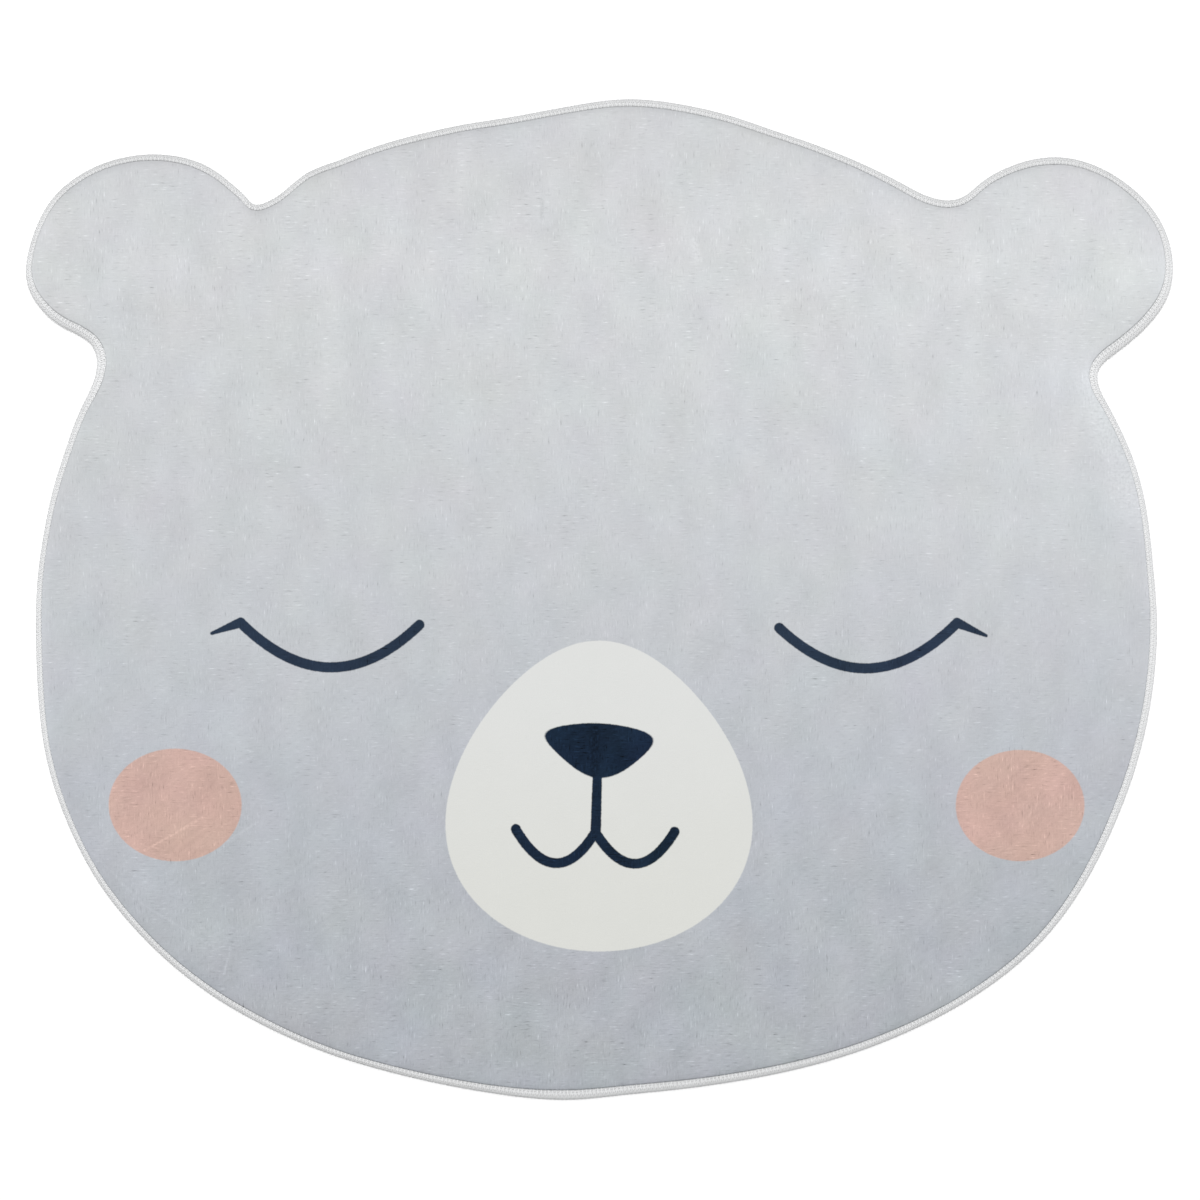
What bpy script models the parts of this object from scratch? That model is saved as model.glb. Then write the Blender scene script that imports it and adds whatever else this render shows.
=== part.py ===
"""A bear's-head floor rug for a child's room, lying flat, in metres with +Z up.

Two sewn pieces: the one-piece pile cloth, cut to a head with two ears, and the
thread binding overlocked all the way round its edge. The face is printed, so
nothing of it stands up here. The origin is the middle of the outline, on the
floor; +X is right and +Y is the crown, seen from above.
"""

import math
from typing import NamedTuple

import bmesh
import bpy
from mathutils import Vector

MM = 0.001

# Driving sizes in metres.
RUG_WIDTH = 0.800  # across the ears; the depth, 0.698, follows from the outline
PILE_HEIGHT = 0.0056  # whole thickness of the cloth, backing and pile
LIP_HEIGHT = 0.0022  # the same cloth pressed flat under the binding
LAP_HEIGHT = 0.0008  # one layer of binding thread, above or below the lip
WEB_WIDTH = 0.0013  # binding thread round the cut edge
GAP = 0.0003  # between the cloth and its binding

# The outline's table is drawn in millimetres for a rug of this width.
DRAWN_WIDTH = 800.0

# The points read from the outline's curve are no further apart than this.
LONGEST_STEP = 0.015
LARGEST_TURN = 10.0  # degrees

# The pile rises from the binding to its full height over this width.
SHOULDER_WIDTH = 0.009
SHOULDER_STEPS = 4

# The last ring of a closed section is welded to its first within this distance.
WELD = 1e-6


class OutlineNode(NamedTuple):
    """One place on the cut edge, going clockwise seen from above."""

    x: float  # millimetres from the middle
    y: float
    heading: float  # degrees clockwise from +X
    band: float  # visible width of the binding, millimetres


CROWN_RIGHT = (
    OutlineNode(23, 349, 1, 5.5),
    OutlineNode(78, 341, 13, 5.5),
    OutlineNode(131, 324, 18, 5.0),
    OutlineNode(182, 304.5, 24, 5.0),
    OutlineNode(217, 287, 29, 5.5),
)
RIGHT_EAR = (
    OutlineNode(243.5, 278.5, 0, 5.5),
    OutlineNode(261, 286.5, -45, 5.0),
    OutlineNode(280.5, 299.5, -25, 5.0),
    OutlineNode(314, 308.5, -3, 5.5),
    OutlineNode(359.5, 295.5, 32, 5.0),
    OutlineNode(395.5, 255, 69, 5.5),
    OutlineNode(400, 228, 92, 6.5),
    OutlineNode(391.5, 202, 124, 7.5),
    OutlineNode(357.5, 169.5, 144, 8.0),
)
RIGHT_CHEEK = (
    OutlineNode(347.5, 156, 92, 7.0),
    OutlineNode(354, 137, 61, 5.0),
    OutlineNode(375.5, 88.5, 73, 5.0),
    OutlineNode(386.5, 20.5, 85, 5.5),
    OutlineNode(389, -22, 91, 6.0),
    OutlineNode(366.5, -139, 111, 6.5),
    OutlineNode(299.5, -247.5, 137, 6.0),
)
CHIN = (
    OutlineNode(192.5, -311, 159, 6.5),
    OutlineNode(73, -339.5, 172, 7.0),
    OutlineNode(18, -345.5, 174, 7.5),
    OutlineNode(-24, -349, 180, 8.0),
    OutlineNode(-80, -343.5, 189, 6.5),
    OutlineNode(-173, -322, 197, 5.5),
    OutlineNode(-248.5, -289.5, 209, 6.0),
)
LEFT_CHEEK = (
    OutlineNode(-341.5, -208.5, 233, 5.5),
    OutlineNode(-366, -167, 245, 5.0),
    OutlineNode(-388.5, -95, 262, 5.0),
    OutlineNode(-393, -25, 269, 5.0),
    OutlineNode(-390, 30, 278, 4.5),
    OutlineNode(-375.5, 95, 289, 5.0),
    OutlineNode(-361, 134.5, 296, 5.5),
)
LEFT_EAR = (
    OutlineNode(-350.5, 165, 270, 7.5),
    OutlineNode(-355, 178, 228, 7.5),
    OutlineNode(-375, 190, 211, 7.5),
    OutlineNode(-394, 208.5, 237, 6.5),
    OutlineNode(-400, 230, 272, 5.0),
    OutlineNode(-395.5, 252, 288, 4.5),
    OutlineNode(-376.5, 285, 316, 4.5),
    OutlineNode(-328, 309, 350, 4.5),
    OutlineNode(-274, 302.5, 26, 5.0),
    OutlineNode(-248, 282.5, 42, 4.5),
)
CROWN_LEFT = (
    OutlineNode(-238.5, 275.5, -8, 4.5),
    OutlineNode(-223, 282.5, -37, 4.5),
    OutlineNode(-204, 297.5, -33, 4.5),
    OutlineNode(-182.5, 306, -23, 4.5),
    OutlineNode(-130, 323.5, -14, 5.0),
    OutlineNode(-78, 334, -8, 5.0),
    OutlineNode(-24, 343.5, -10, 5.0),
)
OUTLINE = CROWN_RIGHT + RIGHT_EAR + RIGHT_CHEEK + CHIN + LEFT_CHEEK + LEFT_EAR + CROWN_LEFT


class Station(NamedTuple):
    """A point on the cut edge, the way in from it, and the binding's width there."""

    edge: Vector
    inward: Vector
    band: float


# Where a section's distances inward start: at the cut edge, or where the binding ends.
FROM_EDGE = 0.0
FROM_BAND = 1.0


class SectionPoint(NamedTuple):
    """A corner of a cross-section."""

    start: float  # FROM_EDGE or FROM_BAND
    inward: float
    height: float  # above the floor


# Heights of the layers at the edge, from the floor up.
LIP_UNDERSIDE = LAP_HEIGHT + GAP
LIP_TOP = LIP_UNDERSIDE + LIP_HEIGHT
UPPER_LAP_UNDERSIDE = LIP_TOP + GAP
BINDING_TOP = UPPER_LAP_UNDERSIDE + LAP_HEIGHT

# The binding's C-shaped section: lower lap, round outside, upper lap, channel.
BINDING_SECTION = (
    SectionPoint(FROM_BAND, 0.0, 0.0),
    SectionPoint(FROM_EDGE, 1.5 * MM, 0.0),
    SectionPoint(FROM_EDGE, 0.35 * MM, 0.7 * MM),
    SectionPoint(FROM_EDGE, 0.0, 2.1 * MM),
    SectionPoint(FROM_EDGE, 0.5 * MM, 3.7 * MM),
    SectionPoint(FROM_EDGE, 1.9 * MM, BINDING_TOP + 0.2 * MM),
    SectionPoint(FROM_BAND, -1.2 * MM, BINDING_TOP),
    SectionPoint(FROM_BAND, 0.0, BINDING_TOP - 0.4 * MM),
    SectionPoint(FROM_BAND, 0.0, UPPER_LAP_UNDERSIDE),
    SectionPoint(FROM_EDGE, WEB_WIDTH, UPPER_LAP_UNDERSIDE),
    SectionPoint(FROM_EDGE, WEB_WIDTH, LAP_HEIGHT),
    SectionPoint(FROM_BAND, 0.0, LAP_HEIGHT),
)

# The cloth's section from its underside, round the lip and back to the shoulder.
LIP_SECTION = (
    SectionPoint(FROM_BAND, GAP + 0.6 * MM, 0.0),
    SectionPoint(FROM_BAND, GAP, 0.5 * MM),
    SectionPoint(FROM_BAND, GAP, LIP_UNDERSIDE),
    SectionPoint(FROM_EDGE, WEB_WIDTH + GAP, LIP_UNDERSIDE),
    SectionPoint(FROM_EDGE, WEB_WIDTH + GAP, LIP_TOP),
    SectionPoint(FROM_BAND, GAP, LIP_TOP),
)


def clear_scene() -> None:
    """Remove whatever the scene holds."""
    for old in list(bpy.data.objects):
        bpy.data.objects.remove(old, do_unlink=True)


def direction(heading: float) -> Vector:
    """Unit vector for a heading in degrees clockwise from +X."""
    angle = math.radians(-heading)
    return Vector((math.cos(angle), math.sin(angle)))


def outline_span(start: OutlineNode, end: OutlineNode) -> list[Station]:
    """Stations from one outline node up to the next, along a round cubic curve."""
    scale = RUG_WIDTH / DRAWN_WIDTH
    first = Vector((start.x, start.y)) * scale
    last = Vector((end.x, end.y)) * scale
    turn = (end.heading - start.heading + 180.0) % 360.0 - 180.0
    chord = (last - first).length
    # The handle length that makes a cubic follow a circular arc of this turn.
    reach = 2.0 * chord / (3.0 * (1.0 + math.cos(math.radians(turn) / 2.0)))
    second = first + direction(start.heading) * reach
    third = last - direction(end.heading) * reach
    steps = max(math.ceil(chord / LONGEST_STEP), math.ceil(abs(turn) / LARGEST_TURN))
    stations = []
    for step in range(steps):
        t = step / steps
        s = 1.0 - t
        point = first * s**3 + second * 3 * s * s * t + third * 3 * s * t * t + last * t**3
        tangent = (second - first) * s * s + (third - second) * 2 * s * t + (last - third) * t * t
        tangent.normalize()
        band = (start.band + (end.band - start.band) * t) * MM
        stations.append(Station(point, Vector((tangent.y, -tangent.x)), band))
    return stations


def cut_edge() -> list[Station]:
    """All stations round the rug, clockwise from the crown."""
    following = OUTLINE[1:] + OUTLINE[:1]
    return [station for pair in zip(OUTLINE, following) for station in outline_span(*pair)]


def shoulder_section() -> tuple[SectionPoint, ...]:
    """The quarter of an ellipse by which the pile rises from the binding."""
    rise = PILE_HEIGHT - LIP_TOP
    angles = [math.pi / 2.0 * step / SHOULDER_STEPS for step in range(1, SHOULDER_STEPS + 1)]
    return tuple(
        SectionPoint(
            FROM_BAND,
            GAP + SHOULDER_WIDTH * (1.0 - math.cos(angle)),
            LIP_TOP + rise * math.sin(angle),
        )
        for angle in angles
    )


def ring_places(stations: list[Station], corner: SectionPoint) -> list[Vector]:
    """Where one corner of a section lies at every station round the rug."""
    places = []
    for station in stations:
        inward = corner.start * station.band + corner.inward
        place = station.edge + station.inward * inward
        places.append(Vector((place.x, place.y, corner.height)))
    return places


def first_ring(mesh: bmesh.types.BMesh, places: list[Vector]) -> list[bmesh.types.BMVert]:
    """A closed loop of vertices and edges to extrude from."""
    ring = [mesh.verts.new(place) for place in places]
    for pair in zip(ring, ring[1:] + ring[:1]):
        mesh.edges.new(pair)
    return ring


def ring_edges(mesh: bmesh.types.BMesh, ring: list[bmesh.types.BMVert]) -> list[bmesh.types.BMEdge]:
    """The edges that join a ring's vertices one to the next."""
    return [mesh.edges.get(pair) for pair in zip(ring, ring[1:] + ring[:1])]


def extrude_ring(
    mesh: bmesh.types.BMesh, ring: list[bmesh.types.BMVert], places: list[Vector]
) -> list[bmesh.types.BMVert]:
    """Extrude a ring to new places, and return the new ring in the same order."""
    made = bmesh.ops.extrude_edge_only(mesh, edges=ring_edges(mesh, ring))["geom"]
    fresh = {item for item in made if isinstance(item, bmesh.types.BMVert)}
    following = []
    for vert, place in zip(ring, places):
        twin = next(edge.other_vert(vert) for edge in vert.link_edges if edge.other_vert(vert) in fresh)
        twin.co = place
        following.append(twin)
    return following


def sweep(
    mesh: bmesh.types.BMesh, stations: list[Station], section: tuple[SectionPoint, ...]
) -> list[list[bmesh.types.BMVert]]:
    """Carry a section round the rug, one ring for each corner, and return the rings."""
    rings = [first_ring(mesh, ring_places(stations, section[0]))]
    for corner in section[1:]:
        rings.append(extrude_ring(mesh, rings[-1], ring_places(stations, corner)))
    return rings


def finish_object(name: str, mesh: bmesh.types.BMesh, material: bpy.types.Material) -> None:
    """Turn a bmesh into a named object with its faces outward and round faces smooth."""
    bmesh.ops.recalc_face_normals(mesh, faces=mesh.faces)
    data = bpy.data.meshes.new(name)
    mesh.to_mesh(data)
    mesh.free()
    data.materials.append(material)
    data.shade_smooth()
    data.set_sharp_from_angle(angle=math.radians(40.0))
    bpy.context.collection.objects.link(bpy.data.objects.new(name, data))


def textile_material(
    name: str, colour: tuple[float, float, float], roughness: float
) -> bpy.types.Material:
    """A plain non-metallic finish."""
    material = bpy.data.materials.new(name)
    material.use_nodes = True
    shader = material.node_tree.nodes["Principled BSDF"]
    shader.inputs["Base Color"].default_value = (*colour, 1.0)
    shader.inputs["Roughness"].default_value = roughness
    shader.inputs["Metallic"].default_value = 0.0
    return material


def build_pile_cloth(stations: list[Station]) -> None:
    """The one-piece cloth: flat underside, pressed lip, rounded shoulder, flat pile."""
    mesh = bmesh.new()
    rings = sweep(mesh, stations, LIP_SECTION + shoulder_section())
    for rim in (rings[0], rings[-1]):
        bmesh.ops.contextual_create(mesh, geom=ring_edges(mesh, rim))
    finish_object("pile_cloth", mesh, textile_material("pale_grey_pile", (0.60, 0.63, 0.67), 0.95))


def build_edge_binding(stations: list[Station]) -> None:
    """The thread binding, a C-shaped ring all round the cloth's lip."""
    mesh = bmesh.new()
    sweep(mesh, stations, BINDING_SECTION + BINDING_SECTION[:1])
    bmesh.ops.remove_doubles(mesh, verts=mesh.verts, dist=WELD)
    finish_object("edge_binding", mesh, textile_material("white_thread", (0.78, 0.79, 0.80), 0.8))


def main() -> None:
    """Build both pieces in an empty scene."""
    clear_scene()
    stations = cut_edge()
    build_pile_cloth(stations)
    build_edge_binding(stations)


main()
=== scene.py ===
"""A bear's-head rug for a child's room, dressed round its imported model.

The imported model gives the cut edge, the width of the binding and the heights.
The short pile with its printed face, the knitted underside and every stitch of
the overlocked edge are made here. Lengths are in metres, +Z is up and +Y is the
crown; the print is drawn in millimetres from the middle of the rug.
"""

import logging
import math
from dataclasses import dataclass, field
from enum import Enum

import bmesh
import bpy
import numpy as np
from mathutils import Matrix, Vector, kdtree, noise


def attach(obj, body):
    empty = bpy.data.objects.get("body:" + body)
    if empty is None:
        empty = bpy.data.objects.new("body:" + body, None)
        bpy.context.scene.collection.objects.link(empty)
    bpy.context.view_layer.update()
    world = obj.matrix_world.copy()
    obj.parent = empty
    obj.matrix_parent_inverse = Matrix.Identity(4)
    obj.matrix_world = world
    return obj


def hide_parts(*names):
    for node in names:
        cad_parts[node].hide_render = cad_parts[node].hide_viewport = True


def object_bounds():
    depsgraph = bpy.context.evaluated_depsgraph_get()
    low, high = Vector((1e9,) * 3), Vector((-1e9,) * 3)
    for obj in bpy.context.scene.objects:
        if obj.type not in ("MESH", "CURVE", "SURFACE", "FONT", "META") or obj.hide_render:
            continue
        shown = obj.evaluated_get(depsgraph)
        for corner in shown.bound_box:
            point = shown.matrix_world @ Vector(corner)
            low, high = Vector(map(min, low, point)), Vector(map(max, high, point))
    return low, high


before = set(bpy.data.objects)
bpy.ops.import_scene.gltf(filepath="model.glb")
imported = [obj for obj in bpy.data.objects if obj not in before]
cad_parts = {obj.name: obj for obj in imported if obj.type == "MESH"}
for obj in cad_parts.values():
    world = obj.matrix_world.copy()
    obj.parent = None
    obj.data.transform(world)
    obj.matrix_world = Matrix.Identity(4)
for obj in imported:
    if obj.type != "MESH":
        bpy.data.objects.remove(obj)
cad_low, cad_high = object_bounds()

log = logging.getLogger("rug")

MM = 0.001
WELD = 1e-6  # packed corners nearer than this are one corner
FAR = 1000.0  # millimetres, further than any place on the print
BODY = "root"
PILE_NODE = "pile_cloth"
BINDING_NODE = "edge_binding"
BAKE_MAP = "OFBake"
MAP_MARGIN = 0.005  # left free round the rug on its bake map
THREAD_MAP = "thread"  # runs along a thread in U and round it in V
COPY_NUMBER = "copy_number"
LOCK_LIGHT = "nap"  # painted light on each lock, how far a point of it catches the light: its ridge lighter, its foot darker, by a share that differs at random from lock to lock
PAINTED_EDGE_LIGHT = "painted_edge_light"  # painted light and shade near the cut edge: share by which a piece is lighter or darker there

Mesh = bmesh.types.BMesh
Ring = list[bmesh.types.BMVert]
Piece = bpy.types.Object
Material = bpy.types.Material
Tree = bpy.types.NodeTree
Node = bpy.types.Node
Socket = bpy.types.NodeSocket
Names = tuple[str, ...]
Point = tuple[float, float]
Triple = tuple[float, float, float]


class TextileSlot(Enum):
    """The finishes by name: the pile and the binding thread."""

    PILE = "pile"
    THREAD = "binding_thread"


# --- Mesh helpers ---


def ring_edges(mesh: Mesh, ring: Ring) -> list[bmesh.types.BMEdge]:
    """The edges that join a ring's vertices one to the next."""
    return [mesh.edges.get(pair) for pair in zip(ring, ring[1:] + ring[:1])]


def rows_of(verts: Ring | bmesh.types.BMVertSeq) -> np.ndarray:
    """Rows of x, y and z of some vertices."""
    return np.array([vert.co[:] for vert in verts])


def first_ring(mesh: Mesh, places: np.ndarray) -> Ring:
    """Start a closed ring to extrude from.

    Args:
        mesh: The bmesh to add to.
        places: Rows of x, y and z, in order round the ring.

    Returns:
        The ring's vertices in the same order.
    """
    ring = bmesh.ops.create_circle(mesh, cap_ends=False, segments=len(places), radius=1.0)["verts"]
    for vert, place in zip(ring, places):
        vert.co = place
    return ring


def extrude_ring(mesh: Mesh, ring: Ring, places: np.ndarray) -> Ring:
    """Extrude a ring of edges to new places.

    Args:
        mesh: The bmesh that holds the ring.
        ring: The ring's vertices in order.
        places: Where each twin goes, in the ring's order.

    Returns:
        The new ring, in the same order.
    """
    made = bmesh.ops.extrude_edge_only(mesh, edges=ring_edges(mesh, ring))["geom"]
    fresh = {item for item in made if isinstance(item, bmesh.types.BMVert)}
    twins = []
    for vert, place in zip(ring, places):
        twin = next(edge.other_vert(vert) for edge in vert.link_edges if edge.other_vert(vert) in fresh)
        twin.co = place
        twins.append(twin)
    return twins


def repeat(mesh: Mesh, count: int, step: float) -> None:
    """Copy a shape along +Y, doubling the run of copies each time, and number the copies.

    Args:
        mesh: The bmesh, holding the one shape.
        count: How many are wanted in all.
        step: Distance from one to the next.
    """
    number = mesh.verts.layers.int.new(COPY_NUMBER)
    made = 1
    while made < count:
        more = min(made, count - made)
        verts = [vert for vert in mesh.verts if vert[number] < more]
        edges = [edge for edge in mesh.edges if edge.verts[0][number] < more]
        faces = [face for face in mesh.faces if face.verts[0][number] < more]
        copy = bmesh.ops.duplicate(mesh, geom=verts + edges + faces)["geom"]
        moved = [item for item in copy if isinstance(item, bmesh.types.BMVert)]
        for vert in moved:
            vert[number] += made
        bmesh.ops.translate(mesh, verts=moved, vec=(0.0, made * step, 0.0))
        made += more


def row_places(data: bpy.types.Mesh) -> tuple[np.ndarray, np.ndarray]:
    """Read a mesh of repeated shapes.

    Args:
        data: The mesh, still in its straight row.

    Returns:
        Rows of x, y and z, and the number of the copy that each vertex belongs to.
    """
    places = np.empty(len(data.vertices) * 3, np.float32)
    data.vertices.foreach_get("co", places)
    numbers = np.empty(len(data.vertices), np.int32)
    data.attributes[COPY_NUMBER].data.foreach_get("value", numbers)
    data.attributes.remove(data.attributes[COPY_NUMBER])
    return places.reshape(-1, 3).astype(float), numbers


def move_points(data: bpy.types.Mesh, flat: np.ndarray, heights: np.ndarray) -> None:
    """Put a mesh's points at rows of x and y, and at their heights."""
    data.vertices.foreach_set("co", np.column_stack([flat, heights]).astype(np.float32).ravel())


def paint_points(data: bpy.types.Mesh, name: str, values: np.ndarray) -> None:
    """Write one number on each of a mesh's points."""
    data.attributes.new(name, "FLOAT", "POINT").data.foreach_set("value", values.astype(np.float32))


def plan_place(place: Vector) -> Point:
    """Where a point lies on a bake map that shows the rug in plan."""
    side = (cad_high.x - cad_low.x) * (1.0 + 2.0 * MAP_MARGIN)
    return (place.x / side + 0.5, (place.y - cad_low.y) / side + MAP_MARGIN)


def finished_piece(name: str, mesh: Mesh, *finishes: Material) -> Piece:
    """Make a smooth-shaded object of a bmesh, with its materials.

    Args:
        name: The piece's name.
        mesh: The bmesh, which is freed.
        finishes: The materials by slot.

    Returns:
        The new object, at the origin.
    """
    data = bpy.data.meshes.new(name)
    mesh.to_mesh(data)
    mesh.free()
    for finish in finishes:
        data.materials.append(finish)
    data.shade_smooth()
    piece = bpy.data.objects.new(name, data)
    bpy.context.scene.collection.objects.link(piece)
    return piece


def seat_piece(piece: Piece, node: str) -> None:
    """Put a piece on the rug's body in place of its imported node.

    Args:
        piece: The finished piece.
        node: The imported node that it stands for.
    """
    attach(piece, BODY)
    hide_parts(node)
    log.info("%s: %d faces", piece.name, len(piece.data.polygons))


# --- The outline ---


def facing(inward: np.ndarray, sign: float, power: float = 1.3) -> np.ndarray:
    """How far parts of the edge face the chin, or the crown where the sign is -1."""
    return np.clip(sign * inward[:, 1], 0.0, 1.0) ** power


@dataclass
class Outline:
    """The cut edge, with the way in and the binding's width at even steps along it."""

    edge_height: float = 2.1 * MM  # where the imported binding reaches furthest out
    lap_height: float = 4.0 * MM  # the inner edge of its upper lap
    tolerance: float = 0.05 * MM
    step: float = 1.0 * MM
    fineness: int = 12  # places read between two packed corners
    chin_tuck: float = 0.6 * MM  # by which the thread reaches less far in on the chin side
    edge: np.ndarray = field(init=False)
    inward: np.ndarray = field(init=False)
    band: np.ndarray = field(init=False)
    station: np.ndarray = field(init=False)
    length: float = field(init=False)

    def read(self, binding: Piece) -> "Outline":
        """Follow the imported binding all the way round.

        Args:
            binding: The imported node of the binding.

        Returns:
            The outline itself.
        """
        mesh = bmesh.new()
        mesh.from_mesh(binding.data)
        bmesh.ops.remove_doubles(mesh, verts=mesh.verts, dist=WELD)
        corners = self.level_ring(mesh, self.edge_height)
        lap = self.level_ring(mesh, self.lap_height)
        mesh.free()
        widths = np.array([np.linalg.norm(lap - corner, axis=1).min() for corner in corners])
        self.spread_evenly(corners, widths)
        return self

    def level_ring(self, mesh: Mesh, height: float) -> np.ndarray:
        """Walk the one ring of corners that lies at a height.

        Args:
            mesh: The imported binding, with its corners merged.
            height: Height of the ring above the floor.

        Returns:
            Rows of x and y, anticlockwise seen from above.
        """
        level = {vert for vert in mesh.verts if abs(vert.co.z - height) < self.tolerance}
        start = max(level, key=lambda vert: vert.co.x)
        ring, last = [start], None
        while True:
            ahead = [edge.other_vert(ring[-1]) for edge in ring[-1].link_edges]
            ahead = [vert for vert in ahead if vert in level and vert is not last]
            last = ring[-1]
            follower = max(ahead, key=lambda vert: vert.co.y) if len(ring) == 1 else ahead[0]
            if follower is start:
                break
            ring.append(follower)
        return rows_of(ring)[:, :2]

    def spread_evenly(self, corners: np.ndarray, widths: np.ndarray) -> None:
        """Draw a smooth closed curve through the corners and step along it.

        Args:
            corners: Rows of x and y.
            widths: The binding's width at each corner.
        """
        following = np.roll(corners, -1, 0)
        chord = np.linalg.norm(following - corners, axis=1)[:, None]
        slope = (following - corners) / chord
        before = np.roll(chord, 1, 0)
        tangent = (before * slope + chord * np.roll(slope, 1, 0)) / (before + chord)
        places, values = [], []
        for share in np.arange(self.fineness) / self.fineness:
            rest = 1.0 - share
            start = (1.0 + 2.0 * share) * rest**2 * corners + share * rest**2 * chord * tangent
            end = share**2 * (3.0 - 2.0 * share) * following
            end -= share**2 * rest * chord * np.roll(tangent, -1, 0)
            places.append(start + end)
            values.append(rest * widths + share * np.roll(widths, -1))
        curve = np.stack(places, 1).reshape(-1, 2)
        width = np.stack(values, 1).reshape(-1)
        hop = np.linalg.norm(np.roll(curve, -1, 0) - curve, axis=1)
        reached = np.concatenate([[0.0], np.cumsum(hop)[:-1]])
        self.length = float(hop.sum())
        self.station = self.even_steps(round(self.length / self.step))
        self.edge = self.along(reached, curve, self.station)
        self.band = self.along(reached, width[:, None], self.station)[:, 0]
        ahead = np.roll(self.edge, -1, 0) - np.roll(self.edge, 1, 0)
        ahead /= np.linalg.norm(ahead, axis=1)[:, None]
        self.inward = np.stack([-ahead[:, 1], ahead[:, 0]], 1)
        self.band -= self.chin_tuck * facing(self.inward, 1.0)

    def even_steps(self, count: int) -> np.ndarray:
        """Distances along the edge that share it out evenly."""
        return np.arange(count) * self.length / count

    def along(self, reached: np.ndarray, values: np.ndarray, wanted: np.ndarray) -> np.ndarray:
        """Read columns of values at distances along the edge."""
        columns = [np.interp(wanted, reached, column, period=self.length) for column in values.T]
        return np.stack(columns, 1)

    def frame_at(self, wanted: np.ndarray) -> tuple[np.ndarray, np.ndarray, np.ndarray]:
        """Place, way in and binding width at distances along the edge.

        Args:
            wanted: Distances along the edge.

        Returns:
            Rows of x and y, rows of the inward unit vector, and the widths.
        """
        place = self.along(self.station, self.edge, wanted)
        inward = self.along(self.station, self.inward, wanted)
        inward /= np.linalg.norm(inward, axis=1)[:, None]
        band = self.along(self.station, self.band[:, None], wanted)[:, 0]
        return place, inward, band

    def ring(self, count: int, share: float, inset: float | np.ndarray, height: float) -> np.ndarray:
        """A ring that follows the edge.

        Args:
            count: Places round the ring.
            share: How much of the binding's width it lies inside the edge.
            inset: The further distance inward, one for all or one for each place.
            height: Height above the floor.

        Returns:
            Rows of x, y and z.
        """
        place, inward, band = self.frame_at(self.even_steps(count))
        flat = place + inward * (share * band + inset)[:, None]
        return np.column_stack([flat, np.full(count, height)])

    def nearest(self, places: np.ndarray) -> tuple[np.ndarray, np.ndarray]:
        """The nearest step along the edge to each place, and how deep in the pile it lies.

        Args:
            places: Rows whose first two columns are x and y.

        Returns:
            The steps, and the distances inside the binding's inner edge, below 0 outside it.
        """
        tree = kdtree.KDTree(len(self.edge))
        for index, (x, y) in enumerate(self.edge):
            tree.insert((x, y, 0.0), index)
        tree.balance()
        near = np.array([tree.find((x, y, 0.0))[1] for x, y in places[:, :2]])
        depth = ((places[:, :2] - self.edge[near]) * self.inward[near]).sum(1) - self.band[near]
        return near, depth

    def area(self, inset: float) -> float:
        """Flat area inside a line that lies this far inside the cut edge."""
        x, y = (self.edge + self.inward * inset).T
        return float(abs(np.dot(x, np.roll(y, -1)) - np.dot(y, np.roll(x, -1))) / 2.0)


# --- Shader wiring ---


class Mixed(Enum):
    """What a Mix node mixes: its data type, its first input and its output."""

    COLOUR = ("RGBA", 6, 2)
    NUMBER = ("FLOAT", 2, 0)


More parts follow.
